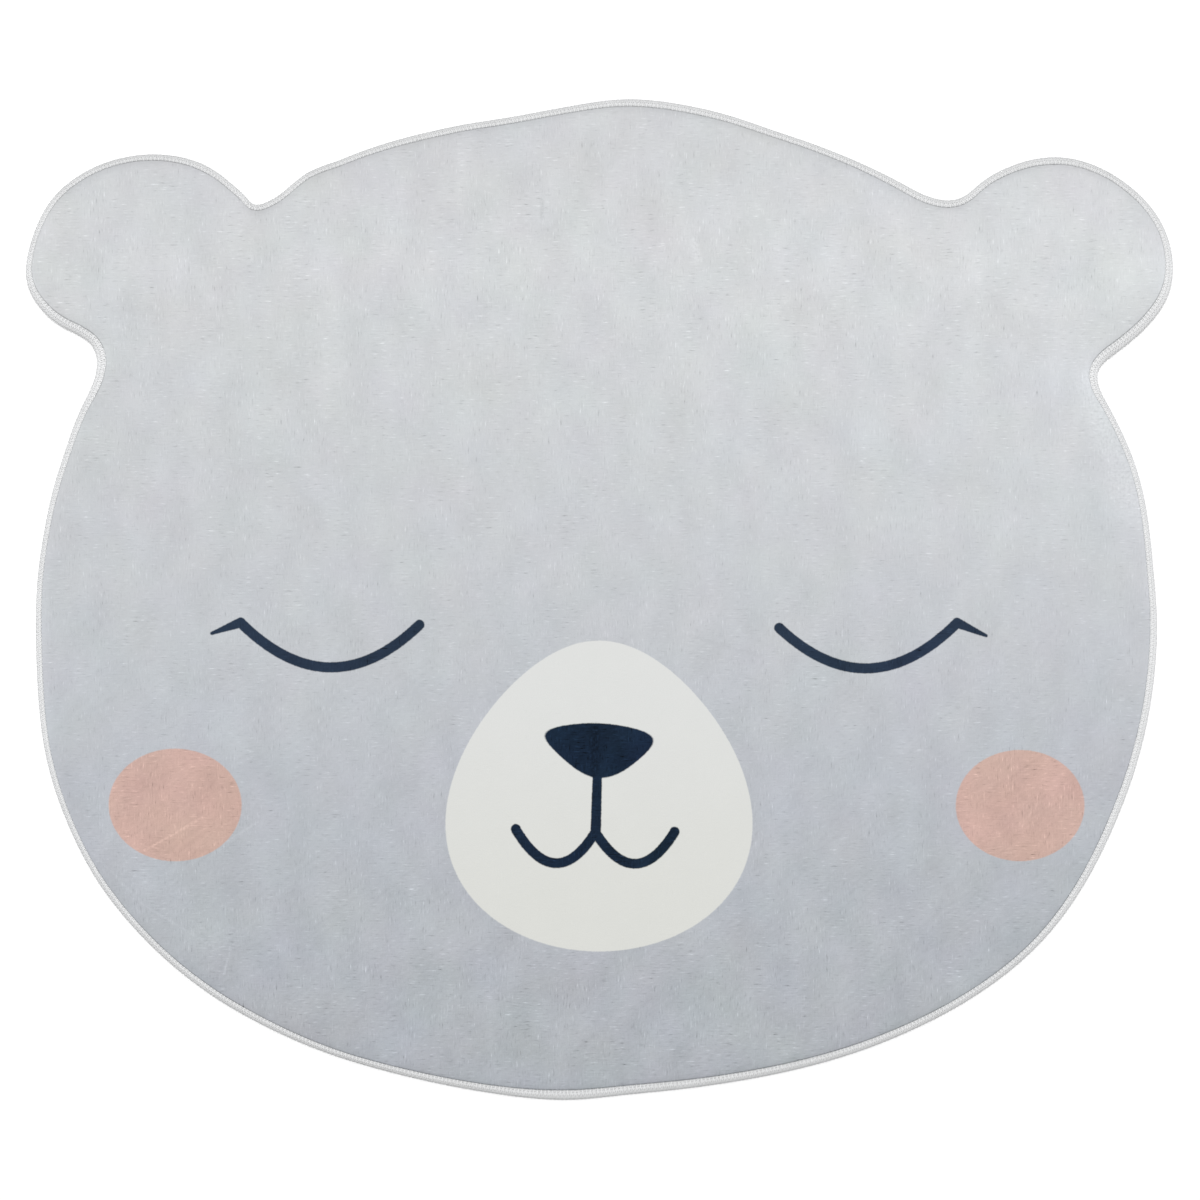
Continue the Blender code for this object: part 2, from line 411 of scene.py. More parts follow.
class Wiring:
    """Places the nodes of one tree and joins them."""

    def __init__(self, tree: Tree) -> None:
        """Keep the tree to work on."""
        self.tree = tree

    def place(self, kind: str, **settings: object) -> Node:
        """Add a node with its settings.

        Args:
            kind: The node's type name.
            settings: Attributes to set on it.

        Returns:
            The new node.
        """
        node = self.tree.nodes.new(kind)
        for name, value in settings.items():
            setattr(node, name, value)
        return node

    def feed(self, socket: Socket, value: object) -> None:
        """Link a socket to another's output, or set it to a plain value.

        Args:
            socket: The input.
            value: An output socket, a number or a row of numbers.
        """
        if isinstance(value, Socket):
            self.tree.links.new(value, socket)
        else:
            socket.default_value = value

    def fill(self, node: Node, **values: object) -> Node:
        """Feed a node's inputs by name.

        Args:
            node: The node.
            values: Its inputs, with underscores for spaces.

        Returns:
            The node itself.
        """
        for name, value in values.items():
            self.feed(node.inputs[name.replace("_", " ")], value)
        return node

    def calc(self, operation: str, *values: object, clamp: bool = False) -> Socket:
        """One step of arithmetic.

        Args:
            operation: The Math node's operation.
            values: Its inputs in order.
            clamp: Whether the result is held between 0 and 1.

        Returns:
            The result's socket.
        """
        node = self.place("ShaderNodeMath", operation=operation, use_clamp=clamp)
        for socket, value in zip(node.inputs, values):
            self.feed(socket, value)
        return node.outputs[0]

    def vector(self, operation: str, *values: object) -> Socket:
        """One step of vector arithmetic.

        Args:
            operation: The Vector Math node's operation.
            values: Its inputs in order; a scale goes last.

        Returns:
            The result's socket, a number for a length, distance or dot product.
        """
        node = self.place("ShaderNodeVectorMath", operation=operation)
        sockets = (node.inputs["Vector"], node.inputs["Scale"]) if operation == "SCALE" else node.inputs
        for socket, value in zip(sockets, values):
            self.feed(socket, value)
        scalar = operation in ("LENGTH", "DISTANCE", "DOT_PRODUCT")
        return node.outputs["Value" if scalar else "Vector"]

    def texture(self, point: Socket, scale: float, detail: float) -> Node:
        """A noise texture, read at a point."""
        texture = self.place("ShaderNodeTexNoise", noise_dimensions="3D")
        return self.fill(texture, Vector=point, Scale=scale, Detail=detail)

    def noise(self, point: Socket, grain: Triple, detail: float = 2.0, turn: float = 0.0) -> Socket:
        """Smooth noise with its own grain each way.

        Args:
            point: Where it is read.
            grain: Grains for each unit of length along x, y and z.
            detail: Octaves added on the first.
            turn: Angle of the grain about +Z, in degrees.

        Returns:
            The noise, from 0 to 1 and mostly near a half.
        """
        mapping = self.place("ShaderNodeMapping")
        self.fill(mapping, Vector=point, Rotation=(0.0, 0.0, math.radians(turn)))
        stretched = self.vector("MULTIPLY", mapping.outputs[0], grain)
        return self.texture(stretched, 1.0, detail).outputs["Fac"]

    def drift(self, point: Socket, scale: float, detail: float) -> Socket:
        """Three noises about 0, as one vector."""
        return self.vector("SUBTRACT", self.texture(point, scale, detail).outputs["Color"], (0.5, 0.5, 0.5))

    def ease(self, value: Socket, start: float, end: float) -> Socket:
        """Rise smoothly from 0 at start to 1 at end, or fall where end is the smaller."""
        node = self.place("ShaderNodeMapRange", interpolation_type="SMOOTHSTEP")
        return self.fill(node, Value=value, From_Min=start, From_Max=end).outputs["Result"]

    def mix(self, kind: Mixed, share: Socket, first: object, second: object) -> Socket:
        """Mix two colours or two numbers.

        Args:
            kind: Which of the two they are.
            share: How much of the second shows.
            first: The one underneath.
            second: The one on top.

        Returns:
            The result's socket.
        """
        data_type, below, result = kind.value
        node = self.place("ShaderNodeMix", data_type=data_type)
        for index, value in ((0, share), (below, first), (below + 1, second)):
            self.feed(node.inputs[index], value)
        return node.outputs[result]

    def axis(self, point: Socket, name: str) -> Socket:
        """One coordinate of a point."""
        return self.fill(self.place("ShaderNodeSeparateXYZ"), Vector=point).outputs[name]

    def with_painted_edge_light(self, shade: Socket) -> Socket:
        """A shade with the piece's painted light and shade near the cut edge in it."""
        tone = self.place("ShaderNodeAttribute", attribute_name=PAINTED_EDGE_LIGHT).outputs["Fac"]
        return self.calc("MULTIPLY", shade, self.calc("ADD", tone, 1.0))

    def use(self, group: Tree, **values: object) -> Node:
        """Place a node group and feed its named inputs."""
        return self.fill(self.place("ShaderNodeGroup", node_tree=group), **values)


class Group:
    """A shader node group with named inputs and outputs."""

    def __init__(self, name: str, vectors: Names, numbers: Names, results: Names = ("Distance",)) -> None:
        """Make the group and its sockets.

        Args:
            name: The group's name.
            vectors: Its vector inputs.
            numbers: Its number inputs.
            results: Its number outputs.
        """
        self.tree = bpy.data.node_groups.new(name, "ShaderNodeTree")
        sockets = [(key, "INPUT", "NodeSocketVector") for key in vectors]
        sockets += [(key, "INPUT", "NodeSocketFloat") for key in numbers]
        sockets += [(key, "OUTPUT", "NodeSocketFloat") for key in results]
        for key, way, kind in sockets:
            self.tree.interface.new_socket(name=key, in_out=way, socket_type=kind)
        self.wiring = Wiring(self.tree)
        self.entry = self.wiring.place("NodeGroupInput")
        self.exit = self.wiring.place("NodeGroupOutput")

    def given(self) -> list[Socket]:
        """The sockets inside the group that bring its inputs, without the nameless spare one."""
        return [socket for socket in self.entry.outputs if socket.name]

    def give(self, **values: Socket) -> Tree:
        """Send values out of the group, and hand over its tree."""
        self.wiring.fill(self.exit, **values)
        return self.tree


# --- The printed face, in millimetres from the middle of the rug ---


def spot(place: Point) -> Triple:
    """A place on the print as a vector."""
    return (*place, 0.0)


@dataclass(frozen=True)
class Oval:
    """A printed oval, wider at the bottom by its flare and narrower at both ends by its pinch."""

    centre: Point
    half_width: float
    half_height: float
    flare: float = 0.0
    pinch: float = 0.0

    def holds(self, places: np.ndarray) -> np.ndarray:
        """Find the places inside the oval.

        Args:
            places: Rows of x and y on the print.

        Returns:
            Whether each place lies inside it.
        """
        rise = (places[:, 1] - self.centre[1]) / self.half_height
        width = self.half_width - self.flare * rise - self.pinch * rise**2
        return ((places[:, 0] - self.centre[0]) / width) ** 2 + rise**2 < 1.0

    def values(self) -> dict[str, object]:
        """What its node group is fed."""
        sizes = {"Half_Width": self.half_width, "Half_Height": self.half_height}
        return {"Centre": spot(self.centre), **sizes, "Flare": self.flare, "Pinch": self.pinch}


@dataclass(frozen=True)
class Taper:
    """A straight printed stroke with round ends."""

    start: Point
    end: Point
    start_radius: float = 0.0
    end_radius: float = 0.0

    def values(self) -> dict[str, object]:
        """What its node group is fed."""
        ends = {"Start": spot(self.start), "End": spot(self.end)}
        return {**ends, "Start_Radius": self.start_radius, "End_Radius": self.end_radius}


@dataclass(frozen=True)
class Bow:
    """A printed stroke along a hanging bow, with round ends."""

    lowest: Point
    bend: float  # rise for each square millimetre of distance from the lowest point
    left: float
    right: float
    half_width: float

    def end(self, x: float) -> Triple:
        """The place on the bow at one of its ends."""
        return (x, self.lowest[1] + self.bend * (x - self.lowest[0]) ** 2, 0.0)

    def heading(self, x: float) -> Triple:
        """Which way the stroke runs out at one of its ends."""
        outward = math.copysign(1.0, x - self.lowest[0])
        return (outward, outward * 2.0 * self.bend * (x - self.lowest[0]), 0.0)

    def values(self) -> dict[str, object]:
        """Work out what its node group is fed.

        Returns:
            The group's inputs by name.
        """
        values = {"Lowest": spot(self.lowest), "Bend": self.bend, "Half_Width": self.half_width}
        for name, x in (("Start", self.left), ("End", self.right)):
            values |= {name: self.end(x), f"{name}_Heading": self.heading(x)}
        return values


@dataclass(frozen=True)
class Side:
    """A round side of the nose."""

    centre: Point
    radius: float


class TextileTools:
    """The node groups that more than one finish or printed shape uses."""

    def __init__(self) -> None:
        """Build each group once."""
        self.grain = self.grain_group()
        self.shapes = {Oval: self.oval_group(), Taper: self.taper_group(), Bow: self.bow_group()}

    def outside(self, do: Wiring, point: Socket, shapes: tuple[Oval | Taper | Bow, ...]) -> Socket:
        """Distance outside the nearest of some printed shapes.

        Args:
            do: The tree's wiring.
            point: Where the print is read.
            shapes: The shapes.

        Returns:
            The distance's socket.
        """
        least = None
        for shape in shapes:
            distance = do.use(self.shapes[type(shape)], Point=point, **shape.values()).outputs["Distance"]
            least = distance if least is None else do.calc("MINIMUM", least, distance)
        return least

    def grain_group(self) -> Tree:
        """Fibre grain.

        Returns:
            The group, which gives a height, and a shade about 1 that follows it.
        """
        group = Group("fibre_grain", ("Point", "Grain"), ("Depth",), ("Shade", "Height"))
        do = group.wiring
        point, grain, depth = group.given()
        height = do.texture(do.vector("MULTIPLY", point, grain), 1.0, 2.0).outputs["Fac"]
        shade = do.calc("MULTIPLY_ADD", do.calc("SUBTRACT", height, 0.5), depth, 1.0)
        return group.give(Shade=shade, Height=height)

    def oval_group(self) -> Tree:
        """Distance outside an oval.

        Returns:
            The group that gives it.
        """
        group = Group("print_oval", ("Point", "Centre"), ("Half Width", "Half Height", "Flare", "Pinch"))
        do = group.wiring
        point, centre, half_width, half_height, flare, pinch = group.given()
        offset = do.vector("SUBTRACT", point, centre)
        rise = do.calc("DIVIDE", do.axis(offset, "Y"), half_height)
        narrowing = do.calc("MULTIPLY", rise, do.calc("MULTIPLY_ADD", rise, pinch, flare))
        reach = do.calc("DIVIDE", do.axis(offset, "X"), do.calc("SUBTRACT", half_width, narrowing))
        radius = do.calc("SQRT", do.calc("MULTIPLY_ADD", reach, reach, do.calc("MULTIPLY", rise, rise)))
        return group.give(Distance=do.calc("MULTIPLY", do.calc("SUBTRACT", radius, 1.0), half_height))

    def taper_group(self) -> Tree:
        """Distance outside a straight stroke.

        Returns:
            The group that gives it.
        """
        group = Group("print_taper", ("Point", "Start", "End"), ("Start Radius", "End Radius"))
        do = group.wiring
        point, start, end, start_radius, end_radius = group.given()
        offset = do.vector("SUBTRACT", point, start)
        run = do.vector("SUBTRACT", end, start)
        passed = do.vector("DOT_PRODUCT", offset, run)
        share = do.calc("DIVIDE", passed, do.vector("DOT_PRODUCT", run, run), clamp=True)
        away = do.vector("DISTANCE", offset, do.vector("SCALE", run, share))
        radius = do.calc("MULTIPLY_ADD", do.calc("SUBTRACT", end_radius, start_radius), share, start_radius)
        return group.give(Distance=do.calc("SUBTRACT", away, radius))

    def bow_group(self) -> Tree:
        """Distance outside a stroke that hangs in a bow.

        Returns:
            The group that gives it.
        """
        vectors = ("Point", "Lowest", "Start", "Start Heading", "End", "End Heading")
        group = Group("print_bow", vectors, ("Bend", "Half Width"))
        do = group.wiring
        point, lowest, start, start_heading, end, end_heading, bend, half_width = group.given()
        offset = do.vector("SUBTRACT", point, lowest)
        across = do.axis(offset, "X")
        climb = do.calc("MULTIPLY", across, bend)
        slope = do.calc("MULTIPLY", climb, 2.0)
        stretch = do.calc("SQRT", do.calc("MULTIPLY_ADD", slope, slope, 1.0))
        above = do.calc("SUBTRACT", do.axis(offset, "Y"), do.calc("MULTIPLY", climb, across))
        line = do.calc("DIVIDE", do.calc("ABSOLUTE", above), stretch)
        caps = []
        for tip, heading in ((start, start_heading), (end, end_heading)):
            beyond = do.vector("SUBTRACT", point, tip)
            ahead = do.calc("GREATER_THAN", do.vector("DOT_PRODUCT", beyond, heading), 0.0)
            line = do.calc("MULTIPLY_ADD", ahead, FAR, line)
            caps.append(do.vector("LENGTH", beyond))
        nearest = do.calc("MINIMUM", line, do.calc("MINIMUM", *caps))
        return group.give(Distance=do.calc("SUBTRACT", nearest, half_width))


@dataclass(frozen=True)
class Dye:
    """A printed colour, and how strongly the lay of the pile shows in it."""

    colour: Triple
    grain: float


@dataclass(frozen=True)
class FacePrint:
    """The sleeping face that is printed on the pile."""

    muzzle: Oval = Oval((-0.3, -136.8), 104.9, 108.2, 21.9, 4.6)
    cheeks: tuple[Oval, ...] = (
        Oval((-295.4, -143.0), 46.3, 39.2),
        Oval((292.9, -143.4), 44.8, 38.7),
    )
    eyes: tuple[Bow | Taper, ...] = (
        Bow((-186.8, -47.2), 0.00785, -249.8, -125.4, 3.6),
        Bow((185.3, -47.9), 0.00781, 125.2, 249.0, 3.6),
        Taper((-249.8, -16.0), (-269.8, -23.5), 3.6, 1.2),
        Taper((249.0, -16.2), (269.3, -25.2), 3.6, 1.1),
    )
    mouth: tuple[Bow | Taper, ...] = (
        Bow((-29.9, -183.5), 0.02969, -58.2, -2.7, 3.5),
        Bow((24.7, -183.9), 0.02933, -2.7, 52.3, 3.5),
        Taper((-1.5, -122.8), (-2.6, -162.5), 3.3, 3.7),
    )
    nose_top: Side = Side((-5.1, -205.3), 119.3)
    nose_left: Side = Side((387.3, 324.6), 600.0)
    nose_right: Side = Side((-76.8, 9.9), 160.0)
    nose_bottom_round: float = 37.2
    nose_corner_round: float = 19.6
    ink_edge: float = 0.5  # half the width over which an edge of the print fades
    blush_dye: Dye = Dye((0.525, 0.362, 0.315), 2.5)
    cream_dye: Dye = Dye((0.6225, 0.6275, 0.598), 0.17)
    cream_painted_light_top: Triple = (0.632, 0.639, 0.627)  # painted light: the cream at the top of the muzzle, lighter where more light falls
    cream_span: Point = (-230.0, -50.0)  # heights between which it turns to that
    lid_dye: Dye = Dye((0.018, 0.030, 0.054), 4.0)
    nose_dye: Dye = Dye((0.0074, 0.0165, 0.0352), 8.0)
    ground: tuple[tuple[float, Dye], ...] = (  # heights on the rug, and the dye at each, with painted shade of the light's falloff toward the chin in it
        (320.0, Dye((0.531, 0.542, 0.555), 1.45)),
        (240.0, Dye((0.553, 0.566, 0.578), 1.6)),
        (42.0, Dye((0.501, 0.517, 0.537), 1.38)),
        (-126.0, Dye((0.432, 0.451, 0.484), 1.45)),
        (-320.0, Dye((0.383, 0.405, 0.432), 2.3)),
    )
    grain_scale: float = 4.0  # brings the ground's grain into a ramp's range of 0 to 1

    def nose(self, do: Wiring, point: Socket) -> Socket:
        """Distance outside the nose, a triangle of three round sides with its corners eased.

        Args:
            do: The tree's wiring.
            point: Where the print is read.

        Returns:
            The distance's socket.
        """
        left, right, top = (
            do.calc("SUBTRACT", do.vector("DISTANCE", point, spot(side.centre)), side.radius)
            for side in (self.nose_left, self.nose_right, self.nose_top)
        )
        lower = do.calc("SMOOTH_MAX", left, right, self.nose_bottom_round)
        return do.calc("SMOOTH_MAX", lower, top, self.nose_corner_round)

    def ground_dye_and_painted_falloff(self, do: Wiring, point: Socket) -> tuple[Socket, Socket]:
        """The grey ground, which deepens from the crown to the chin: partly printed dye, partly painted
        shade where the light falls off toward the chin.

        Args:
            do: The tree's wiring.
            point: Where the print is read.

        Returns:
            Its colour, and the strength of the lay in it.
        """
        low, high = self.ground[-1][0], self.ground[0][0]
        rise = do.calc("DIVIDE", do.calc("SUBTRACT", do.axis(point, "Y"), low), high - low)
        ramp = do.fill(do.place("ShaderNodeValToRGB"), Fac=rise)
        stops = ramp.color_ramp.elements
        while len(stops) < len(self.ground):
            stops.new(0.5)
        for stop, (height, dye) in zip(stops, reversed(self.ground)):
            stop.position = (height - low) / (high - low)
            stop.color = (*dye.colour, dye.grain / self.grain_scale)
        return ramp.outputs["Color"], do.calc("MULTIPLY", ramp.outputs["Alpha"], self.grain_scale)

    def paint(self, do: Wiring, tools: TextileTools, point: Socket) -> tuple[Socket, Socket]:
        """Lay each dye over the ground.

        Args:
            do: The tree's wiring.
            tools: The groups that draw.
            point: Where the print is read.

        Returns:
            The printed colour, and how strongly the lay of the pile shows in it.
        """
        colour, grain = self.ground_dye_and_painted_falloff(do, point)
        # painted light falloff: the cream turns lighter toward the top of the muzzle
        rise = do.ease(do.axis(point, "Y"), *self.cream_span)
        cream_with_painted_falloff = do.mix(Mixed.COLOUR, rise, (*self.cream_dye.colour, 1.0), (*self.cream_painted_light_top, 1.0))
        layers = (
            (tools.outside(do, point, self.cheeks), self.blush_dye),
            (tools.outside(do, point, (self.muzzle,)), self.cream_dye),
            (tools.outside(do, point, self.eyes), self.lid_dye),
            (tools.outside(do, point, self.mouth), self.nose_dye),
            (self.nose(do, point), self.nose_dye),
        )
        for distance, dye in layers:
            shown = do.ease(distance, self.ink_edge, -self.ink_edge)
            laid = cream_with_painted_falloff if dye is self.cream_dye else (*dye.colour, 1.0)
            colour = do.mix(Mixed.COLOUR, shown, colour, laid)
            grain = do.mix(Mixed.NUMBER, shown, grain, dye.grain)
        return colour, grain


# --- Finishes ---


@dataclass(frozen=True)
class TextileFinish:
    """What every textile of the rug has: a matt shader with a faint halo of fibres, and fine relief."""

    name: str
    roughness: float
    halo_spread: float
    relief_share: float
    relief_depth: float
    fibre_grain: Triple  # grains for each millimetre along x, y and z
    fibre_shade: float
    specular: float = 0.12
    halo: float = 0.05

    def pattern(self, do: Wiring, tools: TextileTools, point: Socket, fibres: Node) -> tuple[Socket, Socket]:
        """Colour and relief, which each finish gives its own."""
        raise NotImplementedError

    def material(self, tools: TextileTools) -> Material:
        """Build the material.

        Args:
            tools: The shared node groups.

        Returns:
            The material.
        """
        material = bpy.data.materials.new(self.name)
        material.use_nodes = True
        shader = material.node_tree.nodes["Principled BSDF"]
        shader.inputs["Roughness"].default_value = self.roughness
        shader.inputs["Specular IOR Level"].default_value = self.specular
        shader.inputs["Sheen Weight"].default_value = self.halo
        shader.inputs["Sheen Roughness"].default_value = self.halo_spread
        do = Wiring(material.node_tree)
        point = do.vector("SCALE", do.place("ShaderNodeTexCoord").outputs["Object"], 1.0 / MM)
        fibres = do.use(tools.grain, Point=point, Grain=self.fibre_grain, Depth=self.fibre_shade)
        colour, height = self.pattern(do, tools, point, fibres)
        bump = do.place("ShaderNodeBump")
        do.fill(bump, Strength=self.relief_share, Distance=self.relief_depth, Height=height)
        do.fill(shader, Base_Color=colour, Normal=bump.outputs["Normal"])
        return material


@dataclass(frozen=True)
class Mark:
    """A faint line where the pile has been pressed or brushed the other way; the two broad ones by the edge
    are painted light.
    """

    start: Point
    end: Point
    half_width: float
    shade: float  # share by which it is lighter, or darker below 0


@dataclass(frozen=True)
class PileFinish(TextileFinish):
    """Short velvety pile: print, lay of the fibres, pressed marks, painted light and shade, and fine grain.
    """

    name: str = "printed_pile"
    roughness: float = 0.95
    halo_spread: float = 0.45
    relief_share: float = 0.35
    relief_depth: float = 0.4 * MM
    fibre_grain: Triple = (1.3, 1.1, 1.0)
    fibre_shade: float = 0.06
    face: FacePrint = FacePrint()
    wobble: float = 0.5  # millimetres over which fibres carry an edge of the print about
    wobble_grain: float = 0.7
    weave_grain: Triple = (0.05, 0.03, 1.0)
    weave_span: Point = (0.38, 0.62)
    wale_grain: Triple = (0.95, 0.15, 1.0)
    weft_grain: Triple = (0.15, 0.95, 1.0)
    weft_most: float = 1.15  # how much weft shows where no wale does
    streak_shade: float = 0.66
    streak_scale: float = 4.0  # how sharply the strongest streaks stand out
    patch_grain: Triple = (0.045, 0.028, 1.0)
    patch_shade: float = 0.15
    swirl_grain: Triple = (0.012, 0.012, 1.0)
    swirl_reach: Triple = (60.0, 40.0, 0.0)
    brush_grain: Triple = (0.07, 0.42, 1.0)
    brush_turn: float = -38.0  # degrees from +X
    brush_span: Point = (-90.0, 90.0)  # heights between which the brushed lay gives way to the woven one
    brush_shade: float = 0.07
    # share of painted light on the locks for each unit of their attribute
    lock_light_share: float = 0.012
    tint_grain: float = 0.022
    tint_shade: float = 0.035
    painted_light_rightward: float = 0.00006  # painted light: by which each millimetre to the right is lighter, above the eyes
    painted_light_at_sides: float = 0.022  # painted light: by which the far sides are lighter
    side_reach: float = 1.0 / 380.0  # share of the way to a side for each millimetre
    side_span: Point = (-190.0, -90.0)
    break_grain: Triple = (0.5, 0.5, 1.0)
    break_span: Point = (0.3, 0.6)
    marks: tuple[Mark, ...] = (
        Mark((-316.6, -174.7), (-275.6, -151.4), 0.8, 0.22),
        Mark((-263.0, -158.4), (-252.3, -152.0), 0.7, 0.12),
        Mark((-259.5, -168.4), (-238.0, -155.0), 0.7, 0.09),
        Mark((-356.0, -173.6), (-316.6, -213.0), 0.8, 0.05),
        Mark((-316.6, -213.0), (-264.8, -244.3), 0.8, 0.07),
        Mark((-257.0, -242.0), (-261.3, -261.3), 0.8, 0.12),
        Mark((63.0, -25.0), (112.0, -39.0), 1.2, -0.05),
        Mark((66.0, 250.0), (68.0, 236.0), 2.5, 0.10),
        Mark((-40.0, 278.0), (-40.0, 266.0), 1.2, -0.12),
        Mark((-3.0, -90.0), (-3.5, -119.0), 3.2, -0.5),
        # painted highlight: a broad lighter streak by the right edge
        Mark((345.0, 150.0), (372.0, 70.0), 14.0, 0.10),
        # painted light: a broad lighter streak by the lower left edge
        Mark((-335.0, -175.0), (-260.0, -245.0), 14.0, 0.04),
    )

    def pattern(self, do: Wiring, tools: TextileTools, point: Socket, fibres: Node) -> tuple[Socket, Socket]:
        """Colour and relief of the pile.

        Args:
            do: The tree's wiring.
            tools: The groups that draw the print.
            point: Where they are read.
            fibres: The fibre grain there.

        Returns:
            The colour, and the height of the relief.
        """
        flat = do.vector("MULTIPLY", point, (1.0, 1.0, 0.0))
        carried = do.drift(point, self.wobble_grain, 1.0)
        carried = do.vector("MULTIPLY", carried, (self.wobble, self.wobble, 0.0))
        colour, strength = self.face.paint(do, tools, do.vector("ADD", flat, carried))
        # painted light on the locks: lighter ridges, darker feet
        nap = do.place("ShaderNodeAttribute", attribute_name=LOCK_LIGHT).outputs["Fac"]
        swing = do.calc("ADD", self.lay(do, flat), do.calc("SUBTRACT", fibres.outputs["Shade"], 1.0))
        swing = do.calc("MULTIPLY_ADD", nap, self.lock_light_share, swing)
        shade = do.calc("MULTIPLY_ADD", swing, strength, 1.0)
        # painted light and shade near the cut edge goes into the pile's colour here
        shade = do.with_painted_edge_light(do.calc("MULTIPLY", shade, self.pressed(do, tools, flat)))
        uneven = do.vector("SCALE", do.drift(flat, self.tint_grain, 3.0), self.tint_shade)
        uneven = do.vector("ADD", do.vector("SCALE", uneven, strength), (1.0, 1.0, 1.0))
        colour = do.vector("MULTIPLY", colour, uneven)
        return do.vector("SCALE", colour, shade), fibres.outputs["Height"]

    def streaks(self, do: Wiring, point: Socket, grain: Triple, where: Socket) -> Socket:
        """The strongest streaks of a noise, and those only where they are wanted.

        Args:
            do: The tree's wiring.
            point: Where they are read.
            grain: Grains for each millimetre each way.
            where: How much they are wanted.

        Returns:
            A share to add to the shade, about 0.
        """
        swing = do.calc("SUBTRACT", do.noise(point, grain), 0.5)
        size = do.calc("POWER", do.calc("MULTIPLY", swing, self.streak_scale), 2.0)
        return do.calc("MULTIPLY", do.calc("MULTIPLY", swing, size), where)

    def lay(self, do: Wiring, point: Socket) -> Socket:
        """Light and dark from the way the pile lies, with painted light to the right above the eyes and at
        the far sides.

        Args:
            do: The tree's wiring.
            point: Where it is read.

        Returns:
            A share to add to the shade, about 0.
        """
        across, height = do.axis(point, "X"), do.axis(point, "Y")
        upper = do.ease(height, *self.brush_span)
        weave = do.ease(do.noise(point, self.weave_grain), *self.weave_span)
        wale = self.streaks(do, point, self.wale_grain, weave)
        weft = self.streaks(do, point, self.weft_grain, do.calc("SUBTRACT", self.weft_most, weave))
        patch = do.calc("SUBTRACT", do.noise(point, self.patch_grain, detail=4.0), 0.5)
        moved = do.vector("SCALE", self.swirl_reach, do.noise(point, self.swirl_grain))
        swirl = do.vector("ADD", point, moved)
        brush = do.calc("SUBTRACT", do.noise(swirl, self.brush_grain, 3.0, self.brush_turn), 0.5)
        brush = do.calc("MULTIPLY", brush, do.calc("SUBTRACT", 1.0, upper))
        aside = do.calc("MULTIPLY", across, self.side_reach)
        aside = do.calc("MULTIPLY", aside, aside)
        total = 0.0
        for value, amount in (
            (wale, self.streak_shade),
            (weft, self.streak_shade),
            (patch, self.patch_shade),
            (brush, self.brush_shade),
            # painted light to the right and at the far sides
            (do.calc("MULTIPLY", across, upper), self.painted_light_rightward),
            (do.calc("MULTIPLY", aside, do.ease(height, *self.side_span)), self.painted_light_at_sides),
        ):
            total = do.calc("MULTIPLY_ADD", value, amount, total)
        return total

    def pressed(self, do: Wiring, tools: TextileTools, point: Socket) -> Socket:
        """The faint pressed marks, and two broad streaks of painted light by the edge.

        Args:
            do: The tree's wiring.
            tools: The groups that draw.
            point: Where they are read.

        Returns:
            A shade about 1.
        """
        broken = do.ease(do.noise(point, self.break_grain), *self.break_span)
        shade = 1.0
        for mark in self.marks:
            away = tools.outside(do, point, (Taper(mark.start, mark.end),))
            seen = do.ease(away, 2.0 * mark.half_width, 0.0)
            shade = do.calc("MULTIPLY_ADD", do.calc("MULTIPLY", seen, broken), mark.shade, shade)
        return shade


@dataclass(frozen=True)
class UndersideFinish(TextileFinish):
    """The plain knitted underside."""

    name: str = "knitted_underside"
    roughness: float = 0.9
    halo_spread: float = 0.5
    relief_share: float = 0.5
    relief_depth: float = 0.25 * MM
    fibre_grain: Triple = (1.1, 1.1, 1.1)
    fibre_shade: float = 0.18
    colour: Triple = (0.62, 0.61, 0.58)
    rib: float = 1.4  # millimetres between ribs
    row: float = 1.75  # and between rows
    knit_shade: float = 0.05

    def pattern(self, do: Wiring, tools: TextileTools, point: Socket, fibres: Node) -> tuple[Socket, Socket]:
        """Colour and relief of the knit.

        Args:
            do: The tree's wiring.
            tools: The shared node groups; not used here.
            point: Where they are read.
            fibres: The fibre grain there.

        Returns:
            The colour, and the height of the relief.
        """
        ribs, rows = (
            do.calc("SINE", do.calc("MULTIPLY", do.axis(point, name), 2.0 * math.pi / pitch))
            for name, pitch in (("X", self.rib), ("Y", self.row))
        )
        knit = do.calc("MULTIPLY", ribs, rows)
        shade = do.calc("MULTIPLY_ADD", knit, self.knit_shade, fibres.outputs["Shade"])
        return do.vector("SCALE", self.colour, shade), knit


